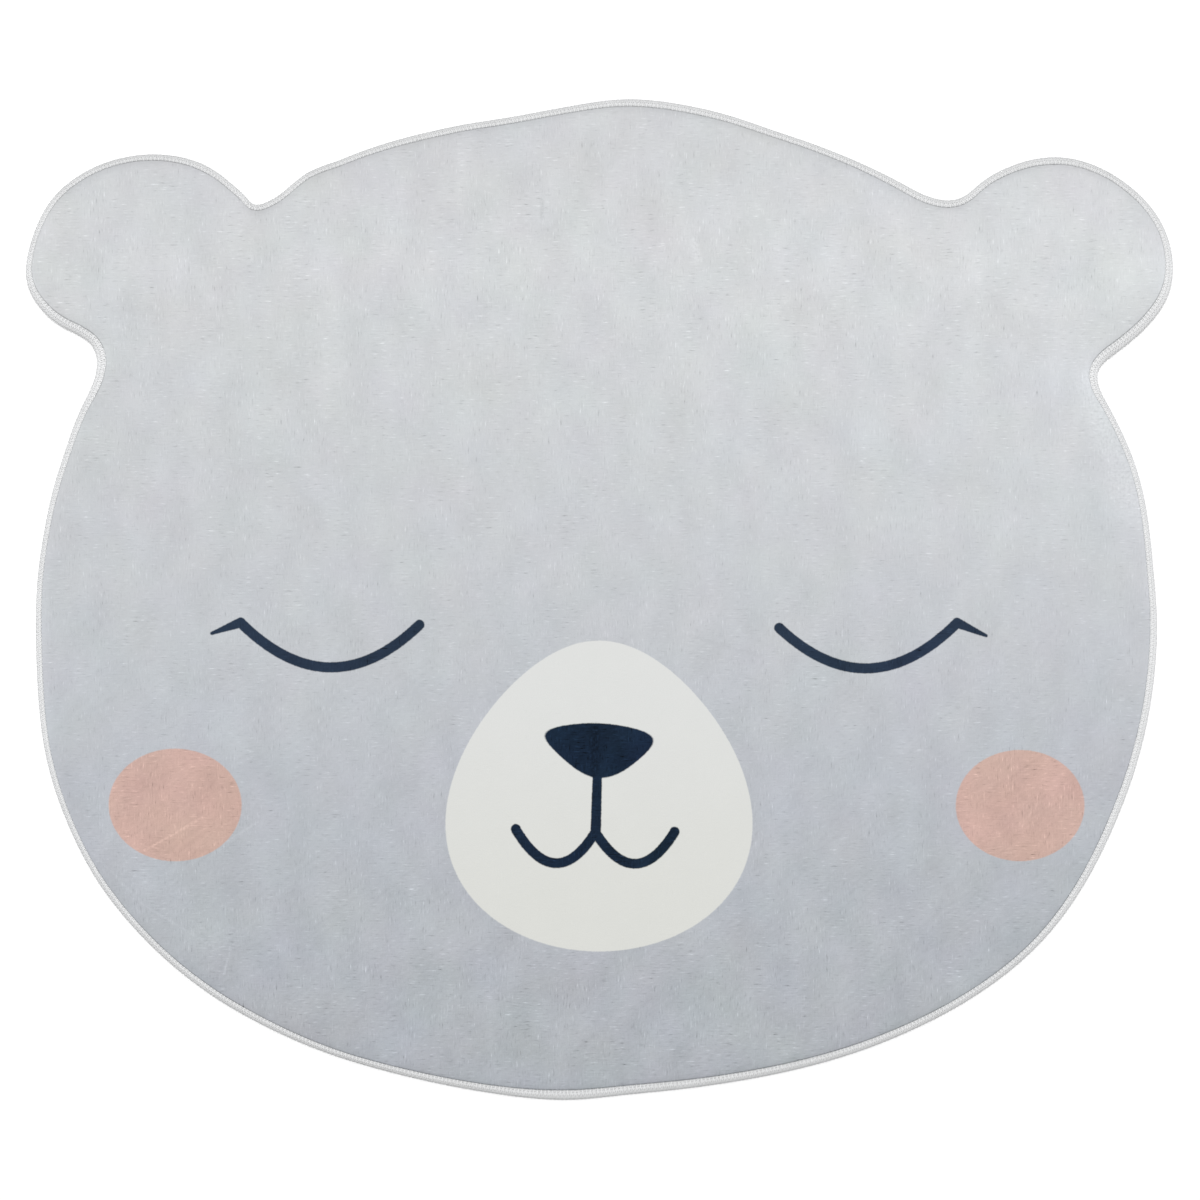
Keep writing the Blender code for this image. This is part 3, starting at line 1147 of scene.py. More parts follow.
@dataclass(frozen=True)
class ThreadFinish(TextileFinish):
    """Spun white thread, with its twist where it runs in stitches."""

    name: str = "white_thread"
    roughness: float = 0.8
    halo_spread: float = 0.4
    relief_share: float = 0.5
    relief_depth: float = 0.12 * MM
    fibre_grain: Triple = (1.6, 1.6, 1.6)
    fibre_shade: float = 0.14
    colour: Triple = (0.72, 0.725, 0.73)
    twists: float = 9.0  # turns along one run of thread
    ply_shade: float = 0.03
    soil_grain: Triple = (0.05, 0.05, 0.05)
    soil_shade: float = 0.10

    def pattern(self, do: Wiring, tools: TextileTools, point: Socket, fibres: Node) -> tuple[Socket, Socket]:
        """Colour and relief of the thread.

        Args:
            do: The tree's wiring.
            tools: The shared node groups; not used here.
            point: Where they are read.
            fibres: The fibre grain there.

        Returns:
            The colour, and the height of the relief.
        """
        soil = do.calc("SUBTRACT", do.noise(point, self.soil_grain, detail=3.0), 0.5)
        shade = do.calc("MULTIPLY_ADD", soil, self.soil_shade, fibres.outputs["Shade"])
        strand = do.place("ShaderNodeUVMap", uv_map=THREAD_MAP).outputs["UV"]
        turns = do.calc("MULTIPLY_ADD", do.axis(strand, "X"), self.twists, do.axis(strand, "Y"))
        ply = do.calc("SINE", do.calc("MULTIPLY", turns, 2.0 * math.pi))
        # painted light and shade of the thread near the cut edge goes into its colour here
        shade = do.with_painted_edge_light(do.calc("MULTIPLY_ADD", ply, self.ply_shade, shade))
        return do.vector("SCALE", self.colour, shade), ply


# --- The pile cloth ---


@dataclass(frozen=True)
class Reading:
    """How finely a noise is read over the rug, and from where."""

    fineness: float  # grains for each metre
    shift: Triple = (0.0, 0.0, 0.0)

    def at(self, place: Vector) -> Vector:
        """Where the noise is read for a place on the rug."""
        return Vector((place.x, place.y, 0.0)) * self.fineness + Vector(self.shift)


@dataclass(frozen=True)
class Brim:
    """How the pile meets the binding on one part of the edge."""

    start: float  # how far inside the binding's inner edge the pile begins, below 0 where it leans over it
    foot: float  # height at which it begins
    power: float  # how roundly it rises from there
    tone: float  # share of painted light by which it is lighter where it begins; below 0, painted shade that darkens it there

    def row(self) -> tuple[float, ...]:
        """Its numbers in order."""
        return (self.start, self.foot, self.power, self.tone)


@dataclass
class PileCloth:
    """One cloth: printed pile on top, pressed lip in the binding, flat underside."""

    outline: Outline
    pile_cell: float = 2.4 * MM
    underside_cell: float = 16.0 * MM
    ring_count: int = 1200
    gap: float = 0.3 * MM  # between the cloth and its binding
    shoulder: float = 9.0 * MM  # width over which the pile rises from the binding
    lip_low: float = 1.1 * MM
    lip_high: float = 3.3 * MM
    pile_top: float = 5.45 * MM
    lip_reach: float = 1.6 * MM  # how far inside the cut edge the lip ends
    foot_slant: float = 0.6 * MM  # width of the slanted edge round the underside
    foot_rise: float = 0.5 * MM  # and its height
    # painted shade darkens the crease at the chin and the crown; painted light lightens the pile beside the
    # binding at the sides
    chin: Brim = Brim(0.05 * MM, 4.30 * MM, 2.0, -0.07)
    crown: Brim = Brim(0.0 * MM, 4.76 * MM, 1.7, -0.115)
    side: Brim = Brim(-0.75 * MM, 4.80 * MM, 1.5, 0.05)
    left_share: float = 0.5  # by which the chin's edge is closed again on its left
    tone_reach: float = 5.2 * MM
    rise_steps: tuple[float, ...] = (0.70, 0.48, 0.30, 0.165, 0.07, 0.0)
    swell: float = 0.22 * MM
    swell_reading: Reading = Reading(9.0, (3.1, 0.0, 0.0))
    swell_octaves: tuple[float, float, int] = (1.0, 2.0, 3)  # their fall, their gap and their number
    clump: float = 0.10 * MM
    clump_reading: Reading = Reading(85.0)
    clump_octaves: tuple[float, float, int] = (0.8, 2.0, 2)
    clear: float = 1.3 * MM  # kept between the grid and the ring round it
    printed_lean: float = 0.05  # a face that looks up by less carries no print
    hidden_scale: float = 0.14  # size of the rest on the bake map
    hidden_corner: Point = (0.01, 0.875)  # and where it starts

    def build(self, pile: Material, underside: Material) -> Piece:
        """Model the cloth.

        Args:
            pile: Finish of the printed side.
            underside: Finish of the back.

        Returns:
            The finished cloth.
        """
        mesh = bmesh.new()
        foot = self.gap + self.shoulder
        top = first_ring(mesh, self.outline.ring(self.ring_count, 1.0, foot, self.pile_top))
        self.fill(mesh, top, self.pile_cell, foot)
        for vert in mesh.verts:
            vert.co.z += self.relief(vert.co)
        ring = self.lower_shoulder(mesh, top)
        for share, inset, height in self.lip_section():
            ring = extrude_ring(mesh, ring, self.outline.ring(self.ring_count, share, inset, height))
        for face in self.fill(mesh, ring, self.underside_cell, self.gap + self.foot_slant):
            face.material_index = 1
        bmesh.ops.recalc_face_normals(mesh, faces=mesh.faces)
        self.lay_out_map(mesh)
        places = rows_of(mesh.verts)
        piece = finished_piece("printed_pile_cloth", mesh, pile, underside)
        # the pile's painted light and shade near the cut edge
        paint_points(piece.data, PAINTED_EDGE_LIGHT, self.surface(places)[1])
        return piece

    def lip_section(self) -> list[tuple[float, float, float]]:
        """Corners of the lip from the crease round to the underside.

        Returns:
            Each one's share of the binding's width, inset and height.
        """
        return [
            (1.0, self.gap, self.lip_high),
            (0.0, self.lip_reach, self.lip_high),
            (0.0, self.lip_reach, self.lip_low),
            (1.0, self.gap, self.lip_low),
            (1.0, self.gap, self.foot_rise),
            (1.0, self.gap + self.foot_slant, 0.0),
        ]

    def fill(self, mesh: Mesh, ring: Ring, cell: float, inset: float) -> list[bmesh.types.BMFace]:
        """Fill a ring with an even grid, joined to the ring by a strip of triangles.

        Args:
            mesh: The bmesh that holds the ring.
            ring: The ring to fill, level.
            cell: Side of the grid's squares.
            inset: How far the ring lies inside the binding's inner edge.

        Returns:
            The new faces.
        """
        columns, rows = (math.ceil((high - low) / cell) for low, high in zip(cad_low[:2], cad_high[:2]))
        placed = Matrix.Translation((0.0, 0.0, ring[0].co.z))
        placed @= Matrix.Diagonal((columns * cell / 2.0, rows * cell / 2.0, 1.0, 1.0))
        grid = bmesh.ops.create_grid(mesh, x_segments=columns, y_segments=rows, size=1.0, matrix=placed)
        _, depth = self.outline.nearest(rows_of(grid["verts"]))
        outside = [vert for vert, far in zip(grid["verts"], depth) if far < inset + self.clear]
        bmesh.ops.delete(mesh, geom=outside, context="VERTS")
        kept = {vert for vert in grid["verts"] if vert.is_valid}
        loose = [vert for vert in kept if not vert.link_faces]
        bmesh.ops.delete(mesh, geom=loose, context="VERTS")
        kept = {vert for vert in kept if vert.is_valid}
        faces = {face for vert in kept for face in vert.link_faces}
        rim = {edge for face in faces for edge in face.edges if edge.is_boundary}
        rim = sorted(rim, key=lambda edge: edge.calc_length())
        strip = bmesh.ops.triangle_fill(mesh, edges=rim + ring_edges(mesh, ring), use_beauty=True)
        made = [item for item in strip["geom"] if isinstance(item, bmesh.types.BMFace)]
        return list(faces) + made

    def relief(self, place: Vector) -> float:
        """Height of the pile's slow swells and its clumps of fibres over its mean.

        Args:
            place: A point on the printed side.

        Returns:
            The height, in metres.
        """
        slow = noise.fractal(self.swell_reading.at(place), *self.swell_octaves)
        clumps = noise.fractal(self.clump_reading.at(place), *self.clump_octaves)
        return self.swell * slow + self.clump * clumps

    def brims(self, inward: np.ndarray) -> np.ndarray:
        """How the pile meets the binding at places along the edge.

        Args:
            inward: Rows of the unit vector into the pile.

        Returns:
            Rows of start, foot, power and tone of painted light and shade, mixed from the three kinds of
            edge.
        """
        chin = facing(inward, 1.0) * (1.0 - self.left_share * np.clip(inward[:, 0], 0.0, 1.0))
        crown = facing(inward, -1.0)
        share = np.stack([chin, crown, np.clip(1.0 - chin - crown, 0.0, 1.0)], 1)
        share /= share.sum(1)[:, None]
        return (share @ np.array([brim.row() for brim in (self.chin, self.crown, self.side)])).T

    def heights(self, brims: np.ndarray, depth: np.ndarray, relief: np.ndarray) -> np.ndarray:
        """Height of the pile, rounded down to its brim by the binding.

        Args:
            brims: How it meets the binding at the nearest part of the edge.
            depth: Distances inside the binding's inner edge.
            relief: What the clumps and swells add.

        Returns:
            Heights above the floor.
        """
        start, foot, power, _ = brims
        share = np.clip((depth - start) / (self.gap + self.shoulder - start), 0.0, 1.0)
        rise = (1.0 - (1.0 - share) ** power) ** (1.0 / power)
        return foot + (self.pile_top + relief * share - foot) * rise

    def surface(self, places: np.ndarray) -> tuple[np.ndarray, np.ndarray]:
        """Height of the pile over any places on the rug, and its painted light and shade near the cut edge.

        Args:
            places: Rows whose first two columns are x and y.

        Returns:
            Heights above the floor, and shares by which painted light makes the pile lighter there; below 0
            they are painted shade.
        """
        near, depth = self.outline.nearest(places)
        relief = np.array([self.relief(Vector((x, y, 0.0))) for x, y in places[:, :2]])
        brims = self.brims(self.outline.inward[near])
        # painted shade in the crease at chin and crown, painted light along the sides, fading inward
        tone = brims[3] * np.clip(1.0 - depth / self.tone_reach, 0.0, 1.0)
        return self.heights(brims, depth, relief), tone

    def lower_shoulder(self, mesh: Mesh, ring: Ring) -> Ring:
        """Round the pile down to the crease beside the binding.

        Args:
            mesh: The cloth's bmesh.
            ring: The ring at the foot of the shoulder's inner side.

        Returns:
            The ring in the crease.
        """
        _, inward, _ = self.outline.frame_at(self.outline.even_steps(self.ring_count))
        brims = self.brims(inward)
        start = brims[0]
        for share in self.rise_steps:
            depth = start + share * (self.gap + self.shoulder - start)
            places = self.outline.ring(self.ring_count, 1.0, depth, 0.0)
            relief = np.array([self.relief(Vector(place)) for place in places])
            places[:, 2] = self.heights(brims, depth, relief)
            ring = extrude_ring(mesh, ring, places)
        return ring

    def lay_out_map(self, mesh: Mesh) -> None:
        """Lay the printed side out flat on the bake map, and the rest small in its free strip.

        Args:
            mesh: The whole cloth.
        """
        layer = mesh.loops.layers.uv.new(BAKE_MAP)
        for face in mesh.faces:
            printed = face.normal.z > self.printed_lean and face.material_index == 0
            for loop in face.loops:
                spot = Vector(plan_place(loop.vert.co))
                loop[layer].uv = spot if printed else spot * self.hidden_scale + Vector(self.hidden_corner)


@dataclass
class PileLocks:
    """Brushed locks of fibre that stand a little out of the pile, but not on the smooth muzzle."""

    cloth: PileCloth
    face: FacePrint
    count: int = 30000
    length: float = 7.0 * MM
    width: float = 1.15 * MM
    rise: float = 0.11 * MM
    sink: float = 0.05 * MM
    root_depth: float = 1.2 * MM
    tip_depth: float = -0.3 * MM
    size_span: Point = (0.55, 1.1)
    rise_span: Point = (0.4, 1.2)
    stray: float = 0.22  # spread of the ways they lie, in radians
    weave_reading: Reading = Reading(14.0, (7.0, 3.0, 0.0))
    swirl_reading: Reading = Reading(9.0, (0.0, 11.0, 0.0))
    swirl_turn: float = 2.2
    brushed_turn: float = math.radians(-38.0)
    brushed_height: float = 180.0 * MM  # over which the brushed lay gives way to the woven
    woven_pull: float = 3.0  # how far the weave moves the place where they meet
    woven_from: float = 0.55
    down_from: float = -0.12  # weave above which woven locks lie down the rug, and not across it
    across_from: float = -0.2  # weave below which the lay is woven anywhere
    # painted highlight on each lock's ridge and painted shade at its foot
    ridge_light: float = 1.0
    foot_shade: float = -0.5
    lock_light_chance: Point = (0.35, 0.5)  # mean and spread from lock to lock

    def build(self, name: str, seed: int, finish: Material) -> Piece:
        """Scatter one layer of locks.

        Args:
            name: The layer's name.
            seed: Seed of its chances.
            finish: The pile's material.

        Returns:
            The finished layer.
        """
        chance = np.random.default_rng(seed)
        roots, ahead = self.places(chance)
        mesh = bmesh.new()
        self.shape_lock(mesh)
        repeat(mesh, len(roots), self.length)
        mesh.loops.layers.uv.new(BAKE_MAP)
        piece = finished_piece(name, mesh, finish)
        self.comb(piece.data, roots, ahead, chance)
        return piece

    def shape_lock(self, mesh: Mesh) -> None:
        """Model one lock along +Y: a low ridge on a pointed leaf.

        Args:
            mesh: The empty bmesh to model it in.
        """
        made = bmesh.ops.create_cone(mesh, cap_ends=True, segments=4, radius1=1.0, radius2=0.0, depth=1.0)
        stretch = (self.width / 2.0, self.length / 2.0, self.rise)
        bmesh.ops.scale(mesh, verts=made["verts"], vec=stretch)
        bmesh.ops.remove_doubles(mesh, verts=mesh.verts, dist=WELD)
        bmesh.ops.translate(mesh, verts=mesh.verts, vec=(0.0, 0.0, self.rise / 2.0 - self.sink))

    def places(self, chance: np.random.Generator) -> tuple[np.ndarray, np.ndarray]:
        """Choose where the locks stand and which way they lie.

        Args:
            chance: The layer's chances.

        Returns:
            Rows of x and y of their middles, and of the unit vectors along them.
        """
        span = np.array([cad_high.x - cad_low.x, cad_high.y - cad_low.y])
        cell = math.sqrt(self.cloth.outline.area(0.0) / self.count)
        across, up = (np.arange(math.ceil(side / cell)) for side in span)
        spots = np.stack(np.meshgrid(across, up), -1).reshape(-1, 2)
        spots = (spots + chance.random(spots.shape)) * cell + np.array(cad_low[:2])
        angle = np.array([self.heading(Vector((x, y, 0.0))) for x, y in spots])
        angle += chance.normal(0.0, self.stray, len(spots))
        ahead = np.stack([np.cos(angle), np.sin(angle)], 1)
        keep = ~self.face.muzzle.holds(spots / MM)
        for side, least in ((-0.5, self.root_depth), (0.5, self.tip_depth)):
            _, depth = self.cloth.outline.nearest(spots + ahead * side * self.length)
            keep &= depth > least
        return spots[keep], ahead[keep]

    def heading(self, spot: Vector) -> float:
        """Which way the pile has been brushed at a spot.

        Args:
            spot: A place on the rug.

        Returns:
            The angle from +X, in radians.
        """
        weave = noise.noise(self.weave_reading.at(spot))
        upper = min(max(spot.y / self.brushed_height + 0.5, 0.0), 1.0)
        if weave * self.woven_pull + upper > self.woven_from or weave < self.across_from:
            return 1.5 * math.pi if weave > self.down_from else 0.0
        return self.brushed_turn + self.swirl_turn * noise.noise(self.swirl_reading.at(spot))

    def comb(
        self, data: bpy.types.Mesh, roots: np.ndarray, ahead: np.ndarray, chance: np.random.Generator
    ) -> None:
        """Carry the locks from their row to their places on the pile.

        Args:
            data: The layer's mesh, with the locks in a row.
            roots: Rows of x and y.
            ahead: Rows of the unit vector along each lock.
            chance: The layer's chances.
        """
        row, lock = row_places(data)
        row[:, 1] -= lock * self.length
        size = chance.uniform(*self.size_span, (len(roots), 2))[lock]
        along, aside = row[:, 1] * size[:, 0], row[:, 0] * size[:, 1]
        turned = np.stack([-ahead[:, 1], ahead[:, 0]], 1)
        flat = roots[lock] + ahead[lock] * along[:, None] + turned[lock] * aside[:, None]
        high, tone = self.cloth.surface(flat)
        ridge = row[:, 2] > 0.0
        high += row[:, 2] * np.where(ridge, chance.uniform(*self.rise_span, len(roots))[lock], 1.0)
        move_points(data, flat, high)
        # the cloth's painted light and shade near the cut edge, carried onto the locks
        paint_points(data, PAINTED_EDGE_LIGHT, tone)
        # the strength of each lock's painted light and shade differs at random
        shine = chance.normal(*self.lock_light_chance, len(roots))[lock]
        paint_points(data, LOCK_LIGHT, np.where(ridge, self.ridge_light, self.foot_shade) * shine)
        corners = np.empty(len(data.loops), np.int32)
        data.loops.foreach_get("vertex_index", corners)
        plan = np.array([plan_place(Vector((x, y, 0.0))) for x, y in flat])
        data.uv_layers[BAKE_MAP].data.foreach_set("uv", plan[corners].astype(np.float32).ravel())
        data.shade_flat()


# --- The overlocked edge ---


@dataclass(frozen=True)
class ThreadPoint:
    """A place on a run of thread, on a tape as wide as the nominal binding."""

    inward: float  # millimetres in from the cut edge
    along: float  # share of a stitch
    height: float  # millimetres above the floor


class Run(Enum):
    """The runs of thread in one overlock stitch."""

    OVER = (
        ThreadPoint(5.42, 0.00, 3.95),
        ThreadPoint(4.9, 0.02, 4.28),
        ThreadPoint(3.6, 0.12, 4.46),
        ThreadPoint(2.0, 0.30, 4.34),
        ThreadPoint(0.95, 0.42, 3.70),
        ThreadPoint(0.50, 0.50, 2.20),
        ThreadPoint(0.95, 0.58, 0.80),
        ThreadPoint(2.6, 0.78, 0.42),
        ThreadPoint(4.9, 1.00, 0.45),
    )
    BACK = (
        ThreadPoint(0.70, 0.52, 3.20),
        ThreadPoint(1.25, 0.58, 4.05),
        ThreadPoint(2.6, 0.74, 4.44),
        ThreadPoint(4.2, 0.90, 4.40),
        ThreadPoint(5.38, 0.98, 4.00),
    )
    RIM = (
        ThreadPoint(0.95, 0.00, 3.62),
        ThreadPoint(0.48, 0.40, 3.30),
        ThreadPoint(0.42, 0.80, 2.75),
        ThreadPoint(0.50, 1.20, 1.95),
    )
    NEEDLE = (
        ThreadPoint(4.55, 0.10, 4.25),
        ThreadPoint(4.70, 0.30, 4.70),
        ThreadPoint(4.70, 0.70, 4.70),
        ThreadPoint(4.55, 0.90, 4.25),
    )


@dataclass(frozen=True)
class Gauge:
    """How thick one run of thread is, and the number of its sides."""

    run: Run
    half_width: float
    half_thickness: float
    sides: int


@dataclass(frozen=True)
class ThreadPaintedLight:
    """Painted light and shade on the thread, for how it is lit: palest at the sides, greyest on the rim at
    top and bottom.
    """

    lap: float = 0.05  # share by which the upper lap is lighter at the sides
    lap_fall: float = 0.07  # and by how much less at top and bottom
    rim: float = 0.11
    rim_fall: float = 0.22
    chin_fall: float = 0.10  # a further fall of the rim at the chin
    fall_power: float = 1.5
    rim_end: float = 3.0 * MM  # depth from the cut edge at which the rim's tone has faded
    rim_fade: float = 1.4 * MM

    def at(self, inward: np.ndarray, depth: np.ndarray) -> np.ndarray:
        """The painted light and shade at places on the binding.

        Args:
            inward: Rows of the unit vector into the pile.
            depth: Distances in from the cut edge.

        Returns:
            Shares by which painted light makes the thread lighter; below 0 they are painted shade.
        """
        steep = np.abs(inward[:, 1])
        lap = self.lap - self.lap_fall * steep**2
        rim = self.rim - self.rim_fall * steep**self.fall_power
        rim -= self.chin_fall * facing(inward, 1.0, self.fall_power)
        return lap + (rim - lap) * np.clip((self.rim_end - depth) / self.rim_fade, 0.0, 1.0)


@dataclass
class StitchTape:
    """Stitches made on a straight tape, then laid round the rug's edge."""

    outline: Outline
    tone: ThreadPaintedLight
    pitch: float = 2.7 * MM
    nominal_width: float = 5.5 * MM
    end_size: float = 0.6  # share of its thickness that a thread has at its ends
    sway: float = 0.10 * MM  # unevenness of the stitches along the edge
    lift: float = 0.05 * MM  # and in height
    lift_height: float = 4.0 * MM  # at which the whole of it is seen
    reach: float = 0.025  # and in how far in they come, as a share
    cell_margin: float = 0.05  # left free in a stitch's square of the bake map
    seed: int = 7

    def build(self, name: str, gauges: tuple[Gauge, ...], finish: Material) -> Piece:
        """Make some of the runs of every stitch as one piece.

        Args:
            name: The piece's name.
            gauges: The runs and their thickness.
            finish: The thread's material.

        Returns:
            The finished piece.
        """
        mesh = bmesh.new()
        layer = mesh.loops.layers.uv.new(THREAD_MAP)
        for gauge in gauges:
            self.unroll(layer, self.spin_thread(mesh, gauge))
        bmesh.ops.recalc_face_normals(mesh, faces=mesh.faces)
        count = round(self.outline.length / self.pitch)
        repeat(mesh, count, self.pitch)
        self.lay_out_map(mesh, layer, count)
        piece = finished_piece(name, mesh, finish)
        self.lay_round(piece.data, count)
        return piece

    def spin_thread(self, mesh: Mesh, gauge: Gauge) -> list[Ring]:
        """Draw one run of thread as a closed tube.

        Args:
            mesh: The tape's bmesh.
            gauge: The run and its thickness.

        Returns:
            The tube's rings in order.
        """
        spots = gauge.run.value
        path = [Vector((spot.inward * MM, spot.along * self.pitch, spot.height * MM)) for spot in spots]
        rings = []
        for index, centre in enumerate(path):
            ahead = (path[min(index + 1, len(path) - 1)] - path[max(index - 1, 0)]).normalized()
            side = Vector((1.0, 0.0, 0.0)) if gauge.run is Run.NEEDLE else Vector((0.0, 1.0, 0.0))
            side = (side - ahead * side.dot(ahead)).normalized()
            up = ahead.cross(side)
            size = self.end_size if index in (0, len(path) - 1) else 1.0
            places = []
            for corner in range(gauge.sides):
                angle = 2.0 * math.pi * corner / gauge.sides
                wide = side * math.cos(angle) * gauge.half_width
                thick = up * math.sin(angle) * gauge.half_thickness
                places.append(centre + (wide + thick) * size)
            rings.append(extrude_ring(mesh, rings[-1], places) if rings else first_ring(mesh, places))
        for end in (rings[0], rings[-1]):
            bmesh.ops.contextual_create(mesh, geom=ring_edges(mesh, end))
        return rings

    def unroll(self, layer: bmesh.types.BMLayerItem, rings: list[Ring]) -> None:
        """Map a tube along and round.

        Args:
            layer: The map to write.
            rings: The tube's rings in order.
        """
        spot = {
            vert: (step / (len(rings) - 1), corner / len(ring))
            for step, ring in enumerate(rings)
            for corner, vert in enumerate(ring)
        }
        for face in {face for vert in spot for face in vert.link_faces}:
            closing = max(spot[vert][1] for vert in face.verts) > 0.5
            for loop in face.loops:
                along, around = spot[loop.vert]
                loop[layer].uv = (along, 1.0 if closing and around == 0.0 else around)

    def lay_out_map(self, mesh: Mesh, layer: bmesh.types.BMLayerItem, count: int) -> None:
        """Give each stitch its own small square of the bake map.

        Args:
            mesh: The whole tape.
            layer: The map along and round the thread.
            count: Stitches on the tape.
        """
        bake = mesh.loops.layers.uv.new(BAKE_MAP)
        number = mesh.verts.layers.int[COPY_NUMBER]
        side = math.ceil(math.sqrt(count))
        margin = Vector((self.cell_margin, self.cell_margin))
        for face in mesh.faces:
            stitch = face.verts[0][number]
            corner = Vector((stitch % side, stitch // side)) + margin
            for loop in face.loops:
                loop[bake].uv = (corner + loop[layer].uv * (1.0 - 2.0 * self.cell_margin)) / side

    def lay_round(self, data: bpy.types.Mesh, count: int) -> None:
        """Carry the tape's points onto the edge, with a little unevenness.

        Args:
            data: The piece's mesh, still on the straight tape.
            count: Stitches on the tape.
        """
        tape, stitch = row_places(data)
        chance = np.random.default_rng(self.seed)
        sway, lift, reach = chance.uniform(-1.0, 1.0, (3, count))
        along = tape[:, 1] * self.outline.length / (count * self.pitch) + self.sway * sway[stitch]
        upper = np.clip(tape[:, 2] / self.lift_height, 0.0, 1.0)
        place, inward, band = self.outline.frame_at(along)
        depth = tape[:, 0] / self.nominal_width * band * (1.0 + self.reach * reach[stitch])
        move_points(data, place + inward * depth[:, None], tape[:, 2] + self.lift * lift[stitch] * upper)
        # painted light and shade on the thread, by which way the edge faces and how far in it lies
        paint_points(data, PAINTED_EDGE_LIGHT, self.tone.at(inward, depth))
        data.update()


@dataclass
class EdgeBinding:
    """The overlocked edge: a padded core and the thread over it."""

    outline: Outline
    tone: ThreadPaintedLight = ThreadPaintedLight()
    ring_count: int = 1200
    section: tuple[tuple[float, float, float], ...] = (  # share of the width, inset and height in mm
        (1.0, -0.2, 0.25),
        (0.0, 1.6, 0.20),
        (0.0, 0.60, 0.90),
        (0.0, 0.30, 2.10),
        (0.0, 0.70, 3.45),
        (0.0, 1.7, 4.20),
        (1.0, -1.2, 4.22),
        (1.0, -0.25, 3.98),
        (1.0, -0.2, 3.62),
        (0.0, 1.3, 3.62),
        (0.0, 1.3, 0.80),
        (1.0, -0.2, 0.80),
    )
    wrap: tuple[Gauge, ...] = (
        Gauge(Run.OVER, 0.64 * MM, 0.38 * MM, 6),
        Gauge(Run.BACK, 0.58 * MM, 0.36 * MM, 6),
    )
    chain: tuple[Gauge, ...] = (
        Gauge(Run.RIM, 0.40 * MM, 0.32 * MM, 5),
        Gauge(Run.NEEDLE, 0.42 * MM, 0.30 * MM, 6),
    )

    def core(self, finish: Material) -> Piece:
        """Make the core that shows between the stitches.

        Args:
            finish: The core's material.

        Returns:
            The finished piece.
        """
        mesh = bmesh.new()
        mesh.loops.layers.uv.new(THREAD_MAP)
        ring = None
        for share, inset, height in self.section + self.section[:1]:
            places = self.outline.ring(self.ring_count, share, inset * MM, height * MM)
            ring = extrude_ring(mesh, ring, places) if ring else first_ring(mesh, places)
        bmesh.ops.remove_doubles(mesh, verts=mesh.verts, dist=WELD)
        bmesh.ops.recalc_face_normals(mesh, faces=mesh.faces)
        near, depth = self.outline.nearest(rows_of(mesh.verts))
        piece = finished_piece("binding_core", mesh, finish)
        # painted light and shade on the core, as on the thread
        tone = self.tone.at(self.outline.inward[near], depth + self.outline.band[near])
        paint_points(piece.data, PAINTED_EDGE_LIGHT, tone)
        return piece

    def build(self, finish: Material) -> list[Piece]:
        """Make the core and the thread that goes over and round the edge.

        Args:
            finish: The thread's material.

        Returns:
            The three finished pieces.
        """
        core = self.core(finish)
        tape = StitchTape(self.outline, self.tone)
        over = tape.build("overlock_stitches", self.wrap, finish)
        return [core, over, tape.build("needle_and_rim_thread", self.chain, finish)]


# --- The studio ---


@dataclass(frozen=True)
class Softbox:
    """A square soft light that faces the rug."""

    name: str
    place: Triple
    side: float
    power: float  # in watts

    def hang(self) -> None:
        """Put the light in the scene."""
        data = bpy.data.lights.new(self.name, "AREA")
        data.shape = "SQUARE"
        data.size = self.side
        data.energy = self.power
        lamp = bpy.data.objects.new(self.name, data)
        lamp.location = self.place
        lamp.rotation_euler = (-Vector(self.place)).to_track_quat("-Z", "Y").to_euler()
        bpy.context.scene.collection.objects.link(lamp)


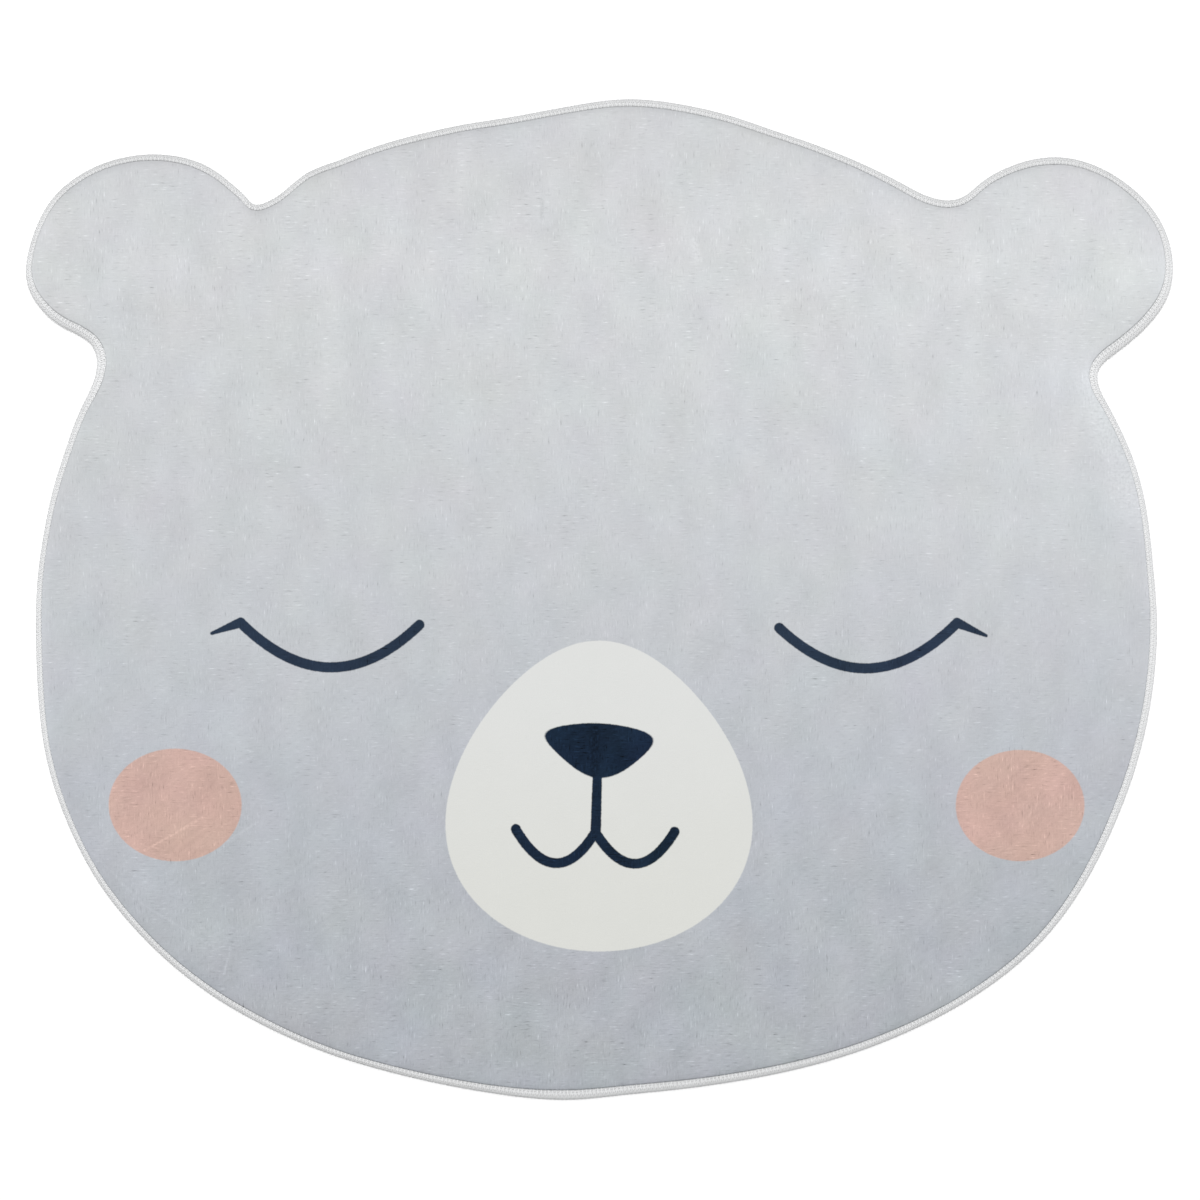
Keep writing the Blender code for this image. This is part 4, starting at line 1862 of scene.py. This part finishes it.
@dataclass
class Studio:
    """A pale floor, soft light and a camera straight above."""

    floor_half: float = 30.0
    floor_drop: float = 0.05 * MM
    floor_looks: tuple[tuple[str, object], ...] = (
        ("Base Color", (0.96, 0.96, 0.96, 1.0)),
        ("Roughness", 0.9),
        ("Specular IOR Level", 0.1),
    )
    softboxes: tuple[Softbox, ...] = (
        Softbox("overhead_softbox", (0.0, 0.1, 4.0), 2.2, 146.5),
        Softbox("crown_softbox", (0.0, 1.5, 2.4), 0.8, 18.4),
    )
    sky_strength: float = 0.15
    picture_width: float = 0.83544  # what the picture spans on the rug
    picture_middle: Point = (0.0004, -0.0003)
    lens: float = 85.0
    sensor: float = 36.0
    pile_height: float = 5.5 * MM

    def floor(self) -> None:
        """Lay the floor."""
        mesh = bmesh.new()
        bmesh.ops.create_grid(mesh, x_segments=1, y_segments=1, size=self.floor_half)
        bmesh.ops.translate(mesh, verts=mesh.verts, vec=(0.0, 0.0, -self.floor_drop))
        material = bpy.data.materials.new("pale_floor")
        material.use_nodes = True
        for socket, value in self.floor_looks:
            material.node_tree.nodes["Principled BSDF"].inputs[socket].default_value = value
        finished_piece("floor", mesh, material)

    def sky(self) -> None:
        """Fill the room with even white light."""
        world = bpy.data.worlds.new("room")
        world.use_nodes = True
        light = world.node_tree.nodes["Background"]
        light.inputs["Color"].default_value = (1.0, 1.0, 1.0, 1.0)
        light.inputs["Strength"].default_value = self.sky_strength
        bpy.context.scene.world = world

    def camera(self) -> None:
        """Hang the camera straight above the rug, with the crown at the top of the picture."""
        data = bpy.data.cameras.new("overhead_camera")
        data.lens = self.lens
        data.sensor_width = self.sensor
        above = self.picture_width * self.lens / self.sensor
        camera = bpy.data.objects.new("overhead_camera", data)
        camera.location = (*self.picture_middle, self.pile_height + above)
        bpy.context.scene.collection.objects.link(camera)
        bpy.context.scene.camera = camera

    def build(self) -> None:
        """Set up the floor, the lights and the camera."""
        self.floor()
        for softbox in self.softboxes:
            softbox.hang()
        self.sky()
        self.camera()
        bpy.context.scene.view_settings.view_transform = "Standard"


def main() -> None:
    """Build the rug and its studio."""
    logging.basicConfig(level=logging.INFO, format="%(name)s: %(message)s")
    outline = Outline().read(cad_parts[BINDING_NODE])
    log.info("cut edge: %.3f m round", outline.length)
    tools = TextileTools()
    cloth = PileCloth(outline)
    nap = PileFinish()
    printed = nap.material(tools)
    pile = cloth.build(printed, UndersideFinish().material(tools))
    locks = PileLocks(cloth, nap.face)
    layers = [locks.build("pile_locks_a", 11, printed), locks.build("pile_locks_b", 12, printed)]
    for piece in (pile, *layers):
        seat_piece(piece, PILE_NODE)
    trim = EdgeBinding(outline).build(ThreadFinish().material(tools))
    for piece in trim:
        seat_piece(piece, BINDING_NODE)
    area = round(outline.area(cloth.lip_reach), 4)
    Studio().build()


if __name__ == "__main__":
    main()
